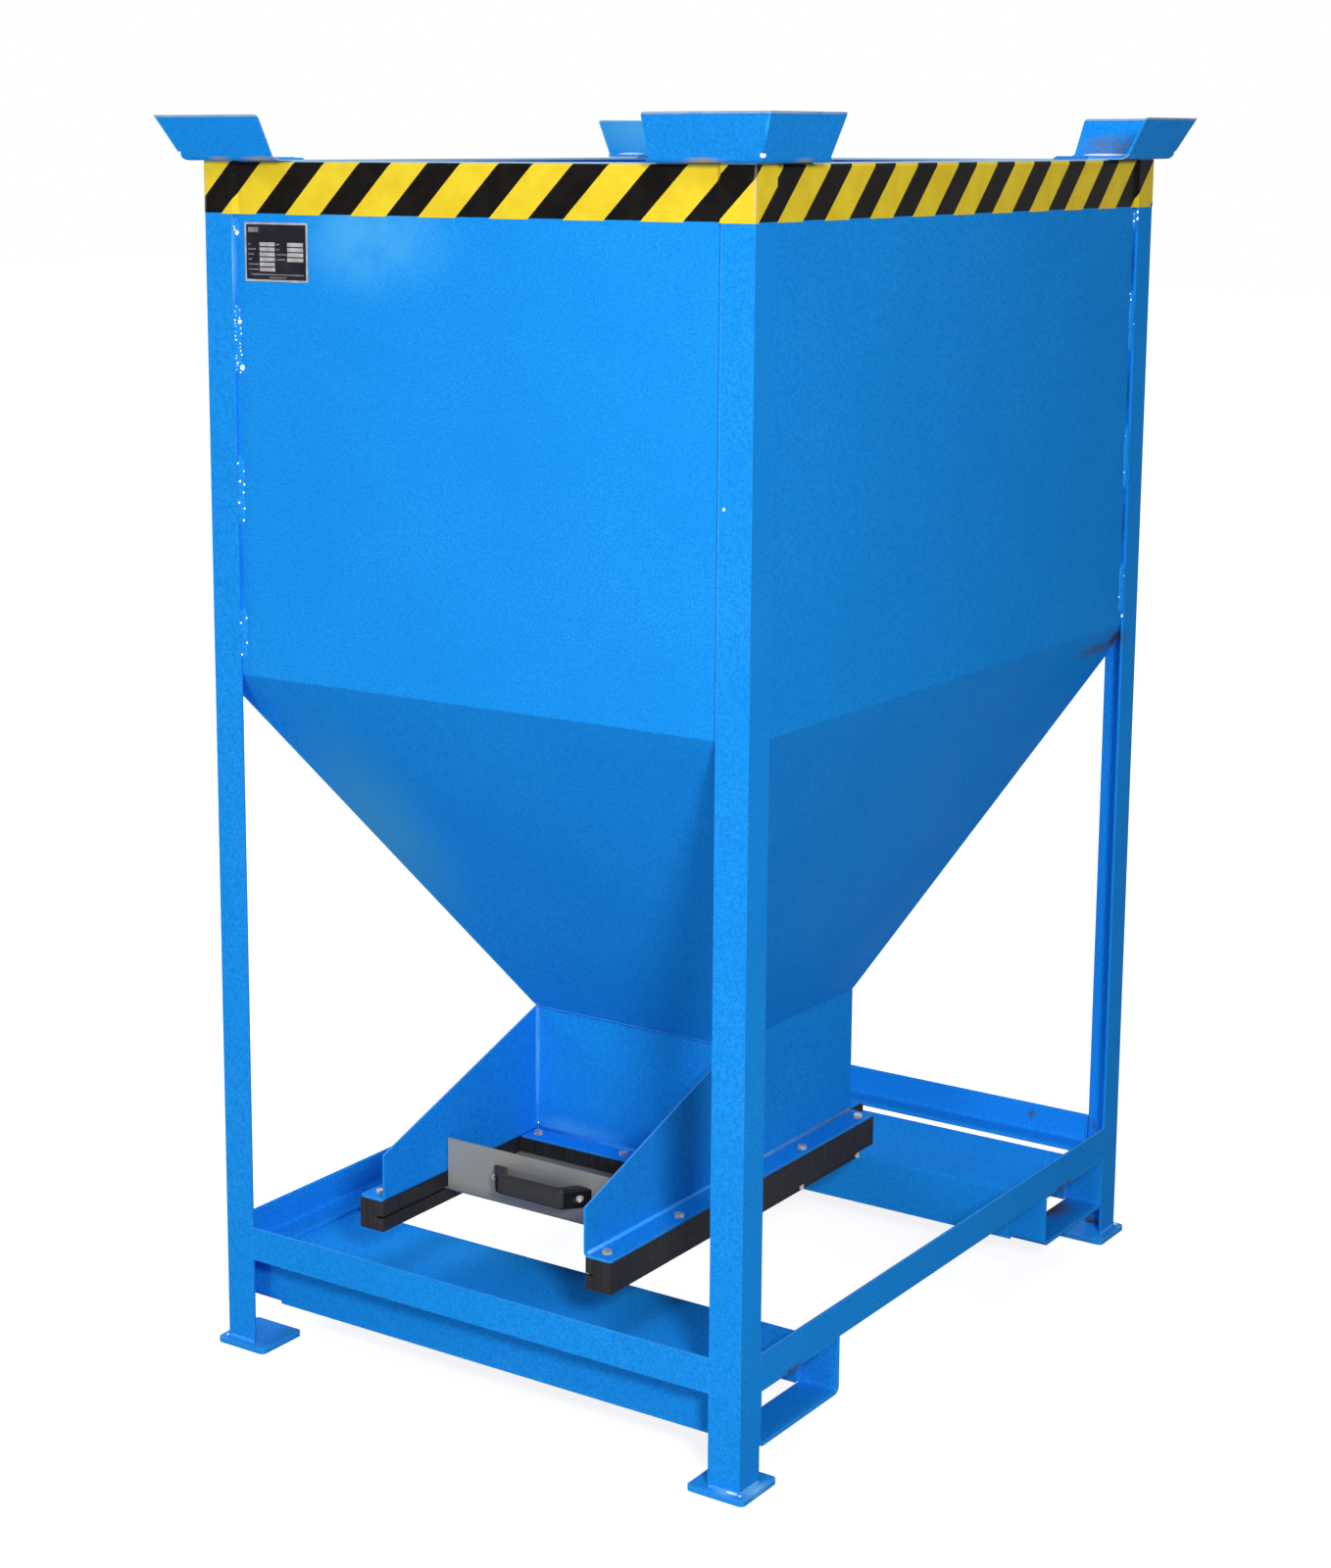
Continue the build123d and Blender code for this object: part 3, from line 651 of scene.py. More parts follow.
# Bright drops on the stitches: how far apart and between which radii on each stitch of the front left
# seam and of the others, the two rows they lie in, and how far they stray from these
FRONT_DROPS = (
    (0.016, 0.0009, 0.0019),
    (0.0038, 0.0010, 0.0019),
    (0.013, 0.0016, 0.0024),
    (0.019, 0.0014, 0.0022),
)
SPARSE_DROPS = ((0.040, 0.0009, 0.0019),) * len(WALL_STITCHES)
DROP_ROWS = (0.0018, 0.0078)
DROP_STRAY = 0.0012

# Large drops on the front left and right wall's seams, as height, distance from the post and radius
LARGE_DROPS = ((1.651, 0.0056, 0.0042), (1.528, 0.0069, 0.0042), (1.464, 0.0095, 0.0052))
FAR_DROPS = (
    (1.670, 0.001, 0.0030),
    (1.660, 0.001, 0.0032),
    (1.656, 0.007, 0.0022),
    (1.536, 0.007, 0.0020),
    (1.040, 0.003, 0.0032),
)

# Single drops: on the near post, at each foot, in the duct's left corner and low on each collar's mitre
LONE_DROP = Vector((0.409, -HALF_Y, 1.323))
LONE_DROP_RADIUS = 0.0026
FOOT_DROP_OUT = 0.0015
FOOT_DROP_RADIUS = 0.0024
DUCT_DROP_OUT = DUCT_LEG * 0.6
DUCT_DROP = Vector((SHEET - DUCT + DUCT_DROP_OUT, -DUCT - DUCT_DROP_OUT, FLANGE_TOP + 0.009))
DUCT_DROP_RADIUS = 0.0036
MITRE_DROP_RISE = 0.0095
MITRE_DROP_SINK = 0.001
MITRE_DROP_LEAN = -0.4
MITRE_DROP_RADIUS = 0.0042

# Strips of painted highlight in the collars' folds and on the near foot: distance from the corner,
# length and radius, and how high they lie in the fold
COLLAR_GLEAM_AT = 0.088
COLLAR_GLEAM = (0.075, 0.0022)
COLLAR_GLEAM_RISE = 0.7
FOOT_GLEAM_AT = 0.011
FOOT_GLEAM = (0.018, 0.0017)


def wall_seams():
    """Each welded seam: its foot, the ways the wall faces and runs off, its drops and large drops."""
    for side_x, side_y in SIDES:
        if (side_x, side_y) == NEAR_CORNER:
            continue
        front_left = (side_x, side_y) == (-1, -1)
        foot = Vector((side_x * (HALF_X - LEG), side_y * BIN_Y, 0))
        drops = FRONT_DROPS if front_left else SPARSE_DROPS
        yield foot, Y * side_y, X * -side_x, drops, LARGE_DROPS if front_left else ()
        foot = Vector((side_x * BIN_X, side_y * (HALF_Y - LEG), 0))
        yield foot, X * side_x, Y * -side_y, SPARSE_DROPS, FAR_DROPS if side_x > 0 else ()


def make_wall_welds():
    """Stitch welds where the bin walls meet the edges of the corner posts."""
    bm = bmesh.new()
    for foot, face, away, _, _ in wall_seams():
        for low, high in WALL_STITCHES:
            add_bead(bm, foot + Z * low, foot + Z * high, away, face, WALL_LEG, TOE_LEG)
    add_piece("wall_welds", bm, [BLUE])


def on_stitch(foot, face, away, offset, z):
    """Point on a stitch weld at a distance from the post."""
    return foot + Z * z + away * offset + face * TOE_LEG * max(0.0, 1 - offset / WALL_LEG)


def add_stitch_drops(bm):
    """Drops along the stitch welds: small ones strewn in two rows, and the large ones."""
    for foot, face, away, drops, large in wall_seams():
        for (low, high), (pitch, small, big) in zip(WALL_STITCHES, drops):
            count = max(1, round((high - low) / pitch))
            for i in range(count):
                z = low + (high - low) * (i + rng.random()) / count
                offset = rng.choice(DROP_ROWS) + rng.uniform(-DROP_STRAY, DROP_STRAY)
                add_drop(bm, on_stitch(foot, face, away, offset, z), face, rng.uniform(small, big))
        for z, offset, radius in large:
            add_drop(bm, on_stitch(foot, face, away, offset, z), face, radius)


def add_foot_drops(bm):
    """Drop at the corner of each post's foot, and a strip of painted highlight on the near one's weld.
    """
    for side_x, side_y in SIDES:
        corner = Vector((side_x * HALF_X, side_y * HALF_Y, FOOT_TOP))
        lip = Y * side_y * BASE_LEG / 2 + Z * BASE_LEG / 2
        if (side_x, side_y) == NEAR_CORNER:
            # Strip of painted highlight on the near foot's weld
            add_gleam(bm, corner + lip - X * side_x * FOOT_GLEAM_AT, X, *FOOT_GLEAM)
        out = (X * side_x + Y * side_y + Z) * FOOT_DROP_OUT
        add_drop(bm, corner + out, Z, FOOT_DROP_RADIUS)


def add_collar_drops(bm):
    """Strips of painted highlight in both folds of each stacking corner, and a drop low on its mitre."""
    level = RIM_Z + COLLAR_PLATE + COLLAR_GLEAM[1] * COLLAR_GLEAM_RISE
    rise = COLLAR_HEIGHT - MITRE_DROP_RISE
    out = COLLAR_REACH - rise * math.tan(COLLAR_LEAN) - MITRE_DROP_SINK
    for side_x, side_y in SIDES:
        fold_x = side_x * (HALF_X + COLLAR_FOLD)
        fold_y = side_y * (HALF_Y + COLLAR_FOLD)
        wing_x = Vector((side_x * (HALF_X - COLLAR_GLEAM_AT), fold_y, level))
        wing_y = Vector((fold_x, side_y * (HALF_Y - COLLAR_GLEAM_AT), level))
        # Strips of painted highlight in the collar's two folds
        add_gleam(bm, wing_x, X, *COLLAR_GLEAM)
        add_gleam(bm, wing_y, Y, *COLLAR_GLEAM)
        foot = Vector((side_x * (HALF_X + out), side_y * (HALF_Y + out), RIM_Z + MITRE_DROP_RISE))
        face = Vector((side_x, side_y, MITRE_DROP_LEAN)).normalized()
        add_drop(bm, foot, face, MITRE_DROP_RADIUS)


def make_weld_drops():
    """Bright drops of weld metal and strips of painted highlight, all in one piece."""
    bm = bmesh.new()
    add_stitch_drops(bm)
    add_drop(bm, LONE_DROP, -Y, LONE_DROP_RADIUS)
    add_foot_drops(bm)
    add_drop(bm, DUCT_DROP, -Y, DUCT_DROP_RADIUS)
    add_collar_drops(bm)
    add_piece("weld_drops", bm, [GLINT, GLEAM])


# Leg of the hopper's beads, and how far they and those in the duct stop short of the ends of their seams
HOPPER_LEG = 0.0032
HOPPER_SHORT = 0.004
DUCT_SHORT = 0.002


def make_hopper_welds():
    """Seams down the hopper's corners, round its neck and up the inner corners of the duct."""
    bm = bmesh.new()
    for side_x, side_y in SIDES:
        high = Vector((side_x * BIN_X, side_y * BIN_Y, BREAK_Z))
        low = Vector((side_x * DUCT, side_y * DUCT, NECK_Z))
        down = (low - high).normalized()
        face_x = (X * -side_x - down * (X * -side_x).dot(down)).normalized()
        face_y = (Y * -side_y - down * (Y * -side_y).dot(down)).normalized()
        inset = down * HOPPER_SHORT
        add_bead(bm, high + inset, low - inset, face_x, face_y, HOPPER_LEG, HOPPER_LEG)
    for side in (-1, 1):
        ends = Vector((DUCT - SHEET, side * DUCT, NECK_Z))
        add_bead(bm, ends, Vector((-ends.x, ends.y, ends.z)), -Z, Y * side, HOPPER_LEG, HOPPER_LEG)
    for side in (-1, 1):
        corner = Vector((side * (DUCT - SHEET), -DUCT, 0))
        low = corner + Z * (FLANGE_TOP + DUCT_SHORT)
        high = corner + Z * (NECK_Z - HOPPER_SHORT)
        add_bead(bm, low, high, X * -side, -Y, DUCT_LEG, DUCT_LEG)
    add_piece("hopper_welds", bm, [BLUE])


# How far the rails' beads stop short, and the shelves' sheet, with how far its beads lap over and taper
RAIL_SHORT = 0.003
SHELF_WALL = 0.004
SHELF_OVERLAP = 0.003
SHELF_TAPER = 0.002


def make_base_welds():
    """Beads where rails meet posts, posts meet feet and the shelves' back edges meet the fork loops."""
    bm = bmesh.new()
    low = Z * (RAIL_LOW.z + RAIL_SHORT)
    high = Z * (RAIL_HIGH.z - RAIL_SHORT)
    ground = Z * FOOT_TOP
    for side_x, side_y in SIDES:
        corner = Vector((side_x * HALF_X, side_y * HALF_Y, 0))
        front = corner - X * side_x * LEG
        flank = corner - Y * side_y * LEG
        seam = front - Y * side_y * ANGLE_WALL
        add_bead(bm, seam + low, seam + high, X * -side_x, Y * -side_y, BASE_LEG, BASE_LEG)
        seam = flank - X * side_x * ANGLE_WALL
        add_bead(bm, seam + low, seam + high, Y * -side_y, X * -side_x, BASE_LEG, BASE_LEG)
        add_bead(bm, corner + ground, front + ground, Y * side_y, Z, BASE_LEG, BASE_LEG)
        add_bead(bm, corner + ground, flank + ground, X * side_x, Z, BASE_LEG, BASE_LEG)
    for row in ("front", "rear"):
        loop_low, loop_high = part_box("fork_loop_" + row + "_right")
        leg = loop_high.y - ANGLE_WALL
        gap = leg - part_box("fork_shelf_" + row)[1].y
        for side in (-1, 1):
            seam = Vector((side * loop_low.x, leg, 0))
            low = seam + Z * (loop_low.z + ANGLE_WALL)
            high = seam + Z * (RAIL_LOW.z - SHELF_WALL)
            add_bead(bm, low, high, -Y, X * side, gap + SHELF_OVERLAP, BASE_LEG, SHELF_TAPER)
    add_piece("base_welds", bm, [FOOT_BLUE])


# Weld up a collar's mitre: radius, sides, share of the radius sunk in, and how far it stays clear of the
# seat and of the upper edge
MITRE_RADIUS = 0.0024
MITRE_STEPS = 8
MITRE_SINK = 0.7
MITRE_FOOT = 0.009
MITRE_SHORT = 0.001


def make_collar_welds():
    """Rounded weld up the outer mitre of each stacking corner."""
    bm = bmesh.new()
    lean = math.tan(COLLAR_LEAN)
    turns = [2 * math.pi * k / MITRE_STEPS for k in range(MITRE_STEPS)]
    for side_x, side_y in SIDES:
        rings = []
        for rise in (MITRE_FOOT, COLLAR_HEIGHT - MITRE_SHORT):
            back = (COLLAR_HEIGHT - rise) * lean + MITRE_RADIUS * MITRE_SINK
            x = side_x * (COLLAR_HIGH.x - back)
            y = side_y * (COLLAR_HIGH.y - back)
            middle = Vector((x, y, RIM_Z + rise))
            rings.append([middle + (X * math.cos(a) + Y * math.sin(a)) * MITRE_RADIUS for a in turns])
        add_rings(bm, rings)
    add_piece("collar_welds", bm, [COLLAR_BLUE])


# Glossy lining of a fold: its steps, how far it stands off the paint, and how far it stops short
FOLD_STEPS = 5
FOLD_LIFT = 0.00015
FOLD_SHORT = 0.004


def add_fold(bm, start, end, side_a, side_b, radius):
    """Thin glossy lining of a square inside fold between faces that run off along side_a and side_b."""
    rings = []
    turns = [math.pi / 2 * k / FOLD_STEPS for k in range(FOLD_STEPS + 1)]
    for point in (start, end):
        centre = point + (side_a + side_b) * radius
        ways = [side_a * math.cos(a) + side_b * math.sin(a) for a in turns]
        arc = [centre - way * (radius - FOLD_LIFT) for way in ways]
        rings.append(arc + [point - (side_a + side_b) * FOLD_LIFT])
    add_rings(bm, rings)


def make_fold_paint():
    """Glossy enamel lining the folds of the bolting flanges, carrying a painted highlight."""
    bm = bmesh.new()
    reach = DUCT - SHEET - FOLD_SHORT
    for side in (-1, 1):
        near = Vector((side * DUCT, BAR_FRONT + FOLD_SHORT, FLANGE_TOP))
        add_fold(bm, near, Vector((near.x, DUCT - FOLD_SHORT, near.z)), X * side, Z, BEND)
        left = Vector((-reach, side * DUCT, FLANGE_TOP))
        add_fold(bm, left, Vector((reach, left.y, left.z)), Y * side, Z, BEND)
    add_piece("fold_paint", bm, [FOLD_HIGHLIGHT_BLUE])


# Hazard tape, laid by hand: even along the right side, and each stripe of the front a little shorter
# than the one before it on the way left from the near corner; black stripes end a notch higher
TAPE_PITCH = 0.1168
TAPE_FIRST = 0.0415
TAPE_FRONT_PITCH = 0.1195
TAPE_SHRINK = 0.0010
TAPE_FRONT_STRIPES = 7
TAPE_BLACK_SHARE = 0.47
TAPE_NOTCH = 0.0016

# How far the tape lies off the paint, its thickness, the length of its fall from post to wall, the near
# corner's entry in its path, and the least length along it
TAPE_OFF = 0.0003
TAPE_THICK = 0.0002
TAPE_STEP = 0.008
TAPE_NEAR_CORNER = 10
TAPE_SNAP = 1e-7


def tape_stripes(near, length):
    """Start and pitch of every black stripe along the tape, from the near corner both ways."""
    first = near + TAPE_FIRST
    stripes = []
    start = first
    while start < length + TAPE_PITCH:
        stripes.append((start, TAPE_PITCH))
        start += TAPE_PITCH
    front = [TAPE_PITCH] + [TAPE_FRONT_PITCH - TAPE_SHRINK * k for k in range(TAPE_FRONT_STRIPES)]
    start = first
    while start > -TAPE_PITCH:
        pitch = front.pop(0) if front else TAPE_PITCH
        start -= pitch
        stripes.append((start, pitch))
    return stripes


def tape_path():
    """Plan of the tape from the rear left corner round the left, front, right and rear faces.

    Each entry is a point, the way its face looks, and 0 on a post or 1 on the recessed wall."""
    faces = (
        (-X, -Y, HALF_X, BIN_X, HALF_Y),
        (-Y, X, HALF_Y, BIN_Y, HALF_X),
        (X, Y, HALF_X, BIN_X, HALF_Y),
        (Y, -X, HALF_Y, BIN_Y, HALF_X),
    )
    path = []
    for out, run, outer, wall, half in faces:
        stations = (
            (-half - TAPE_OFF, outer, 0.0),
            (-half + LEG + TAPE_OFF, outer, 0.0),
            (-half + LEG + TAPE_STEP, wall, 1.0),
            (half - LEG - TAPE_STEP, wall, 1.0),
            (half - LEG - TAPE_OFF, outer, 0.0),
        )
        for along, distance, recessed in stations:
            path.append((run * along + out * (distance + TAPE_OFF), out, recessed))
    out, run, outer, _, half = faces[-1]
    path.append((run * (half + TAPE_OFF) + out * (outer + TAPE_OFF), out, 0.0))
    return path


def rim_inset(z):
    """How far the rounded rim falls back from the wall at a height."""
    rise = max(0.0, z - (RIM_Z - RIM_RADIUS))
    return RIM_RADIUS - math.sqrt(max(0.0, RIM_RADIUS**2 - rise**2))


def cut_through(bm, place, normal, drop_beyond=False):
    """Cuts everything along a plane, and can drop what lies beyond it."""
    everything = bm.verts[:] + bm.edges[:] + bm.faces[:]
    bmesh.ops.bisect_plane(bm, geom=everything, plane_co=place, plane_no=normal, clear_outer=drop_beyond)


def cut_tape(bm, lengths):
    """Leaning stripes in the flat, cut off at the tape's ends and through where it bends."""
    bottom = TAPE_TOP - TAPE_WIDTH
    lean_top = TAPE_TOP - TAPE_MIDDLE
    for start, pitch in tape_stripes(lengths[TAPE_NEAR_CORNER], lengths[-1]):
        split = start + TAPE_BLACK_SHARE * pitch
        cells = (
            (start, split, bottom + TAPE_NOTCH, BLACK_INDEX),
            (split, start + pitch, bottom, YELLOW_INDEX),
        )
        for left, right, low, index in cells:
            lean_low = low - TAPE_MIDDLE
            corners = (
                (left + lean_low, low),
                (right + lean_low, low),
                (right + lean_top, TAPE_TOP),
                (left + lean_top, TAPE_TOP),
            )
            face = bm.faces.new([bm.verts.new((s, z, 0)) for s, z in corners])
            face.material_index = index
    cut_through(bm, (0, 0, 0), -X, drop_beyond=True)
    cut_through(bm, (lengths[-1], 0, 0), X, drop_beyond=True)
    for s in lengths[1:-1]:
        cut_through(bm, (s, 0, 0), X)
    for z in (RIM_Z - RIM_RADIUS, (RIM_Z - RIM_RADIUS + TAPE_TOP) / 2):
        cut_through(bm, (0, z, 0), Y)


def make_tape_ribbon():
    """Striped tape round the rim: cut in the flat, then laid along the faces."""
    path = tape_path()
    lengths = [0.0]
    for (a, _, _), (b, _, _) in zip(path, path[1:]):
        lengths.append(lengths[-1] + (b - a).length)
    bm = bmesh.new()
    cut_tape(bm, lengths)
    for vert in bm.verts:
        s, z = vert.co.x, vert.co.y
        i = max(k for k in range(len(lengths) - 1) if lengths[k] <= s + TAPE_SNAP)
        t = min(1.0, (s - lengths[i]) / (lengths[i + 1] - lengths[i]))
        (a, out, recess_a), (b, _, recess_b) = path[i], path[i + 1]
        recess = recess_a + (recess_b - recess_a) * t
        vert.co = a.lerp(b, t) - out * rim_inset(z) * recess + Z * z
    piece = add_piece("hazard_tape", bm, [YELLOW, BLACK])
    thick = piece.modifiers.new("thickness", "SOLIDIFY")
    thick.thickness = TAPE_THICK
    thick.offset = 1.0


# Data plate: its place on the front wall, then sizes that run from its upper left corner
PLATE_LEFT = -0.381
PLATE_WIDTH = 0.113
PLATE_BOTTOM = 1.585
PLATE_HEIGHT = 0.081
PLATE_THICK = 0.0008
PLATE_BORDER = 0.0028
PLATE_RAISE = 0.00015
FIELD_TOP = 0.0272
FIELD_HEIGHT = 0.0052
FIELD_PITCH = 0.0069
FIELD_COLUMNS = ((0.0270, 0.0545, 6), (0.0770, 0.1055, 4))
CAPTION_COLUMNS = (
    (0.0060, (0.0045, 0.0140, 0.0105, 0.0070, 0.0190, 0.0190)),
    (0.0575, (0.0050, 0.0055, 0.0175, 0.0155)),
)
CAPTION_HEIGHT = 0.0016
HEAD_FIELD = (0.0065, 0.0250, 0.0067, 0.0134)
FOOT_LINES = ((0.0110, 0.1060, 0.0705), (0.0440, 0.0750, 0.0745))


def add_panel(bm, x0, x1, z0, z1, y0, y1, index):
    """Thin box from y0 at the back to y1 at the front."""
    outline = ((x0, z0), (x1, z0), (x1, z1), (x0, z1))
    faces_before = len(bm.faces)
    add_rings(bm, [[Vector((x, y, z)) for x, z in outline] for y in (y0, y1)], index=index)
    bm.faces.ensure_lookup_table()
    for face in bm.faces[faces_before:]:
        face.smooth = False


def make_data_plate():
    """Blank data plate: silver rim, dark field, empty boxes and plain rules where captions would be."""
    bm = bmesh.new()
    x0, x1 = PLATE_LEFT, PLATE_LEFT + PLATE_WIDTH
    z0, z1 = PLATE_BOTTOM, PLATE_BOTTOM + PLATE_HEIGHT
    wall = -BIN_Y
    face = wall - PLATE_THICK
    ink = face - PLATE_RAISE
    rim = PLATE_BORDER
    add_panel(bm, x0, x1, z0, z1, wall, face, SILVER_INDEX)
    add_panel(bm, x0 + rim, x1 - rim, z0 + rim, z1 - rim, face, ink, INK_INDEX)

    def print_box(left, right, top, bottom, index):
        add_panel(bm, x0 + left, x0 + right, z1 - bottom, z1 - top, ink, ink - PLATE_RAISE, index)

    for left, right, count in FIELD_COLUMNS:
        for i in range(count):
            top = FIELD_TOP + i * FIELD_PITCH
            print_box(left, right, top, top + FIELD_HEIGHT, SILVER_INDEX)
    for left, widths in CAPTION_COLUMNS:
        for i, width in enumerate(widths):
            top = FIELD_TOP + i * FIELD_PITCH + (FIELD_HEIGHT - CAPTION_HEIGHT) / 2
            print_box(left, left + width, top, top + CAPTION_HEIGHT, GREY_INDEX)
    print_box(*HEAD_FIELD, GREY_INDEX)
    for left, right, top in FOOT_LINES:
        print_box(left, right, top, top + CAPTION_HEIGHT, GREY_INDEX)
    add_piece("data_plate", bm, PRINTS)


# Fasteners: steps round them, sizes of the bolts, and the shares of the radius at the root of the thread
# and inside the chamfer
HEX_STEPS = 24
HEAD_HEIGHT = 0.0053
HEAD_ACROSS = 0.013
SHANK = 0.008
THREAD_PITCH = 0.00125
THREAD_ROOT = 0.9
CHAMFER_SHARE = 0.97
CHAMFER_LEAN = math.radians(30)


def hex_ring(across, z, limit):
    """Hexagon seen from above, with its corners drawn in to a circle of the limit."""
    ring = []
    for i in range(HEX_STEPS):
        angle = 2 * math.pi * i / HEX_STEPS
        off = (angle % (math.pi / 3)) - math.pi / 6
        radius = min(across / 2 / math.cos(off), limit)
        ring.append(Vector((radius * math.cos(angle), radius * math.sin(angle), z)))
    return ring


def add_hex(bm, place, across, height, both_ends=False):
    """Hexagon with its corners chamfered at the top, or at both ends; leaves every face flat."""
    wide = across / 2 / math.cos(math.pi / 6)
    narrow = across / 2 * CHAMFER_SHARE
    drop = (wide - narrow) * math.tan(CHAMFER_LEAN)
    steps = [(0, narrow), (drop, wide)] if both_ends else [(0, wide)]
    steps += [(height - drop, wide), (height, narrow)]
    rings = [[place + point for point in hex_ring(across, z, limit)] for z, limit in steps]
    add_rings(bm, rings)
    for face in bm.faces:
        face.smooth = False


def add_thread(bm, place, length, radius):
    """Shank with rounded thread ridges, narrow at its lower end."""
    count = max(2, round(length / THREAD_PITCH * 2))
    angles = [2 * math.pi * k / HEX_STEPS for k in range(HEX_STEPS)]
    rings = []
    for i in range(count + 1):
        z = length * i / count
        size = radius * (1.0 if i % 2 else THREAD_ROOT)
        rings.append([place + Vector((size * math.cos(a), size * math.sin(a), z)) for a in angles])
    add_rings(bm, rings)


def node_islands(name):
    """Middle in plan and lower end of each separate solid in a node."""
    bm = bmesh.new()
    bm.from_mesh(nodes[name].data)
    bmesh.ops.remove_doubles(bm, verts=bm.verts, dist=SAME_POINT)
    left = set(bm.verts)
    middles = []
    while left:
        reached = [left.pop()]
        for vert in reached:
            for edge in vert.link_edges:
                other = edge.other_vert(vert)
                if other in left:
                    left.remove(other)
                    reached.append(other)
        xs = [vert.co.x for vert in reached]
        ys = [vert.co.y for vert in reached]
        foot = min(vert.co.z for vert in reached)
        middles.append(((min(xs) + max(xs)) / 2, (min(ys) + max(ys)) / 2, foot))
    bm.free()
    return sorted(middles)


def make_bolts(node, name):
    """Bolts with chamfered heads and threaded shanks, in the places of a node's solids."""
    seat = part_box(node)[1].z - HEAD_HEIGHT
    places = node_islands(node)
    bm = bmesh.new()
    for x, y, _ in places:
        add_hex(bm, Vector((x, y, seat)), HEAD_ACROSS, HEAD_HEIGHT)
    for x, y, foot in places:
        add_thread(bm, Vector((x, y, foot)), seat - foot, SHANK / 2)
    piece = add_piece(name, bm, [ZINC])
    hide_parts(node)


def make_nuts():
    """Chamfered nuts in the places of the plain ones."""
    low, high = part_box("frame_nuts")
    bm = bmesh.new()
    for x, y, _ in node_islands("frame_nuts"):
        add_hex(bm, Vector((x, y, low.z)), HEAD_ACROSS, high.z - low.z, both_ends=True)
    piece = add_piece("flange_nuts", bm, [ZINC])
    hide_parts("frame_nuts")


# Floor: its size, tone and roughness, how brightly it shows near and far, and where that changes
FLOOR_SIZE = 60.0
FLOOR_TONE = 0.38
FLOOR_ROUGH = 0.9
FLOOR_NEAR = 0.86
FLOOR_FAR = 1.0
FADE_FROM = 1.2
FADE_TO = 3.2

# Strength of the even light, and each lamp's name, place, aim, size, power and whether it is mirrored
AMBIENT = 0.16
LAMPS = (
    ("key", (3.08, -3.43, 2.5), (0, 0, 0.6), 0.7, 128, True),
    ("fill", (0.5, -4.6, 0.7), (0, 0, 0.6), 1.0, 33, True),
    ("over", (0.8, -3.0, 4.8), (0, 0, 0.4), 1.6, 42, True),
    ("top", (0.0, 0.2, 5.0), (0, 0, 0.0), 1.6, 34, False),
    ("back", (-3.6, 3.6, 3.4), (0, 0, 0.8), 1.6, 125, False),
    ("side", (-4.0, -1.6, 2.2), (0, 0, 0.9), 1.6, 50, False),
)


def seen_rays(tree):
    """1 for rays that show the background: to the camera, in reflections and through glass."""
    rays = tree.nodes.new("ShaderNodeLightPath")
    total = rays.outputs["Is Camera Ray"]
    for name in ("Is Glossy Ray", "Is Transmission Ray"):
        join = tree.nodes.new("ShaderNodeMath")
        join.operation = "MAXIMUM"
        tree.links.new(total, join.inputs[0])
        tree.links.new(rays.outputs[name], join.inputs[1])
        total = join.outputs[0]
    return total


def make_world():
    """White to the camera and in reflections, and a plain soft light on everything else."""
    world = bpy.data.worlds.new("studio")
    bpy.context.scene.world = world
    world.use_nodes = True
    tree = world.node_tree
    tree.nodes.clear()
    mix = tree.nodes.new("ShaderNodeMixShader")
    tree.links.new(seen_rays(tree), mix.inputs[0])
    for socket, strength in ((mix.inputs[1], AMBIENT), (mix.inputs[2], 1.0)):
        light = tree.nodes.new("ShaderNodeBackground")
        light.inputs["Color"].default_value = rgb(1, 1, 1)
        light.inputs["Strength"].default_value = strength
        tree.links.new(light.outputs[0], socket)
    out = tree.nodes.new("ShaderNodeOutputWorld")
    tree.links.new(mix.outputs[0], out.inputs[0])


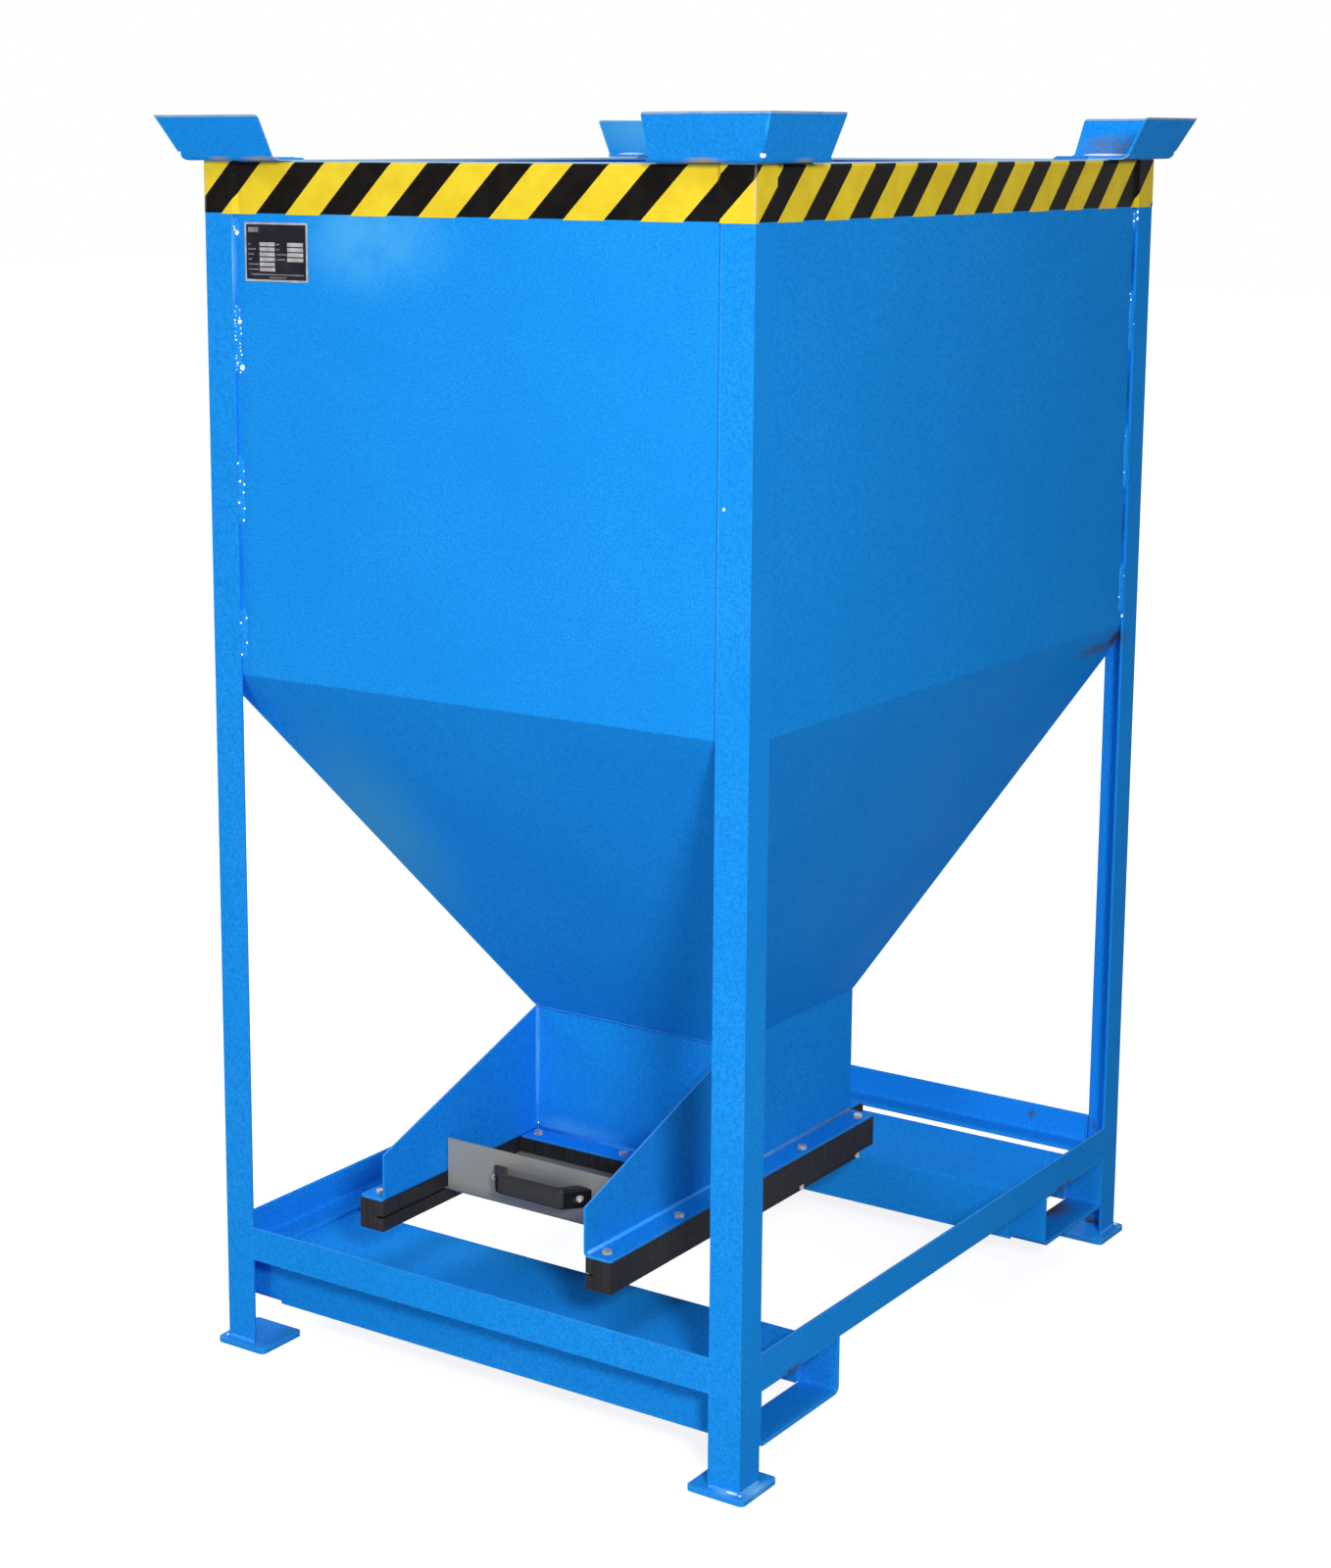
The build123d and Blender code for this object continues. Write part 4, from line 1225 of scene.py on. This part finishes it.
def make_floor():
    """Wide pale floor: white far away, and near the object white where lit and grey in its shadow."""
    bm = bmesh.new()
    bmesh.ops.create_grid(bm, x_segments=1, y_segments=1, size=FLOOR_SIZE / 2)
    mesh = bpy.data.meshes.new("floor")
    bm.to_mesh(mesh)
    bm.free()
    floor = add_object("floor", mesh)
    tree = Tree("floor")
    away = tree.node("ShaderNodeVectorMath", operation="LENGTH")
    tree.put(away.inputs[0], tree.coords)
    fade = tree.ramp(away.outputs["Value"], FADE_FROM, FADE_TO, FLOOR_NEAR, FLOOR_FAR, kind="LINEAR")
    tree.set(Base_Color=rgb(FLOOR_TONE, FLOOR_TONE, FLOOR_TONE), Roughness=FLOOR_ROUGH)
    tree.set(Specular_IOR_Level=0.0, Emission_Color=rgb(1, 1, 1))
    tree.set(Emission_Strength=tree.times(seen_rays(tree.tree), fade))
    mesh.materials.append(tree.material)


def add_lamp(name, place, aim, size, power, mirrored):
    """Round area lamp that points at its aim."""
    data = bpy.data.lights.new(name, "AREA")
    data.shape = "DISK"
    data.size = size
    data.energy = power
    lamp = add_object(name, data)
    lamp.location = place
    lamp.visible_glossy = mirrored
    lamp.rotation_euler = (Vector(aim) - Vector(place)).to_track_quat("-Z", "Y").to_euler()


def make_camera():
    """Camera of the photograph: its place, turn, focal length and off-centre frame."""
    fwd = Vector((
        -math.sin(CAMERA_YAW) * math.cos(CAMERA_PITCH),
        math.cos(CAMERA_YAW) * math.cos(CAMERA_PITCH),
        -math.sin(CAMERA_PITCH),
    ))
    level = Vector((math.cos(CAMERA_YAW), math.sin(CAMERA_YAW), 0))
    upright = level.cross(fwd)
    right = level * math.cos(CAMERA_ROLL) + upright * math.sin(CAMERA_ROLL)
    up = right.cross(fwd)
    data = bpy.data.cameras.new("camera")
    data.sensor_width = SENSOR_MM
    data.lens = FOCAL_PX / FRAME_HEIGHT_PX * SENSOR_MM
    data.shift_x = (FRAME_WIDTH_PX / 2 - PRINCIPAL_X_PX) / FRAME_HEIGHT_PX
    data.shift_y = (PRINCIPAL_Y_PX - FRAME_HEIGHT_PX / 2) / FRAME_HEIGHT_PX
    camera = add_object("camera", data)
    turn = Matrix((right, up, -fwd)).transposed().to_4x4()
    camera.matrix_world = Matrix.Translation(CAMERA_AT) @ turn
    bpy.context.scene.camera = camera


dress_nodes()
make_wall_welds()
make_weld_drops()
make_hopper_welds()
make_base_welds()
make_collar_welds()
make_fold_paint()
make_tape_ribbon()
make_data_plate()
make_bolts("frame_bolts", "flange_bolts")
make_bolts("front_bar_screws", "cross_bar_screws")
make_nuts()
make_world()
make_floor()
for lamp in LAMPS:
    add_lamp(*lamp)
make_camera()
bpy.context.scene.view_settings.view_transform = "Standard"
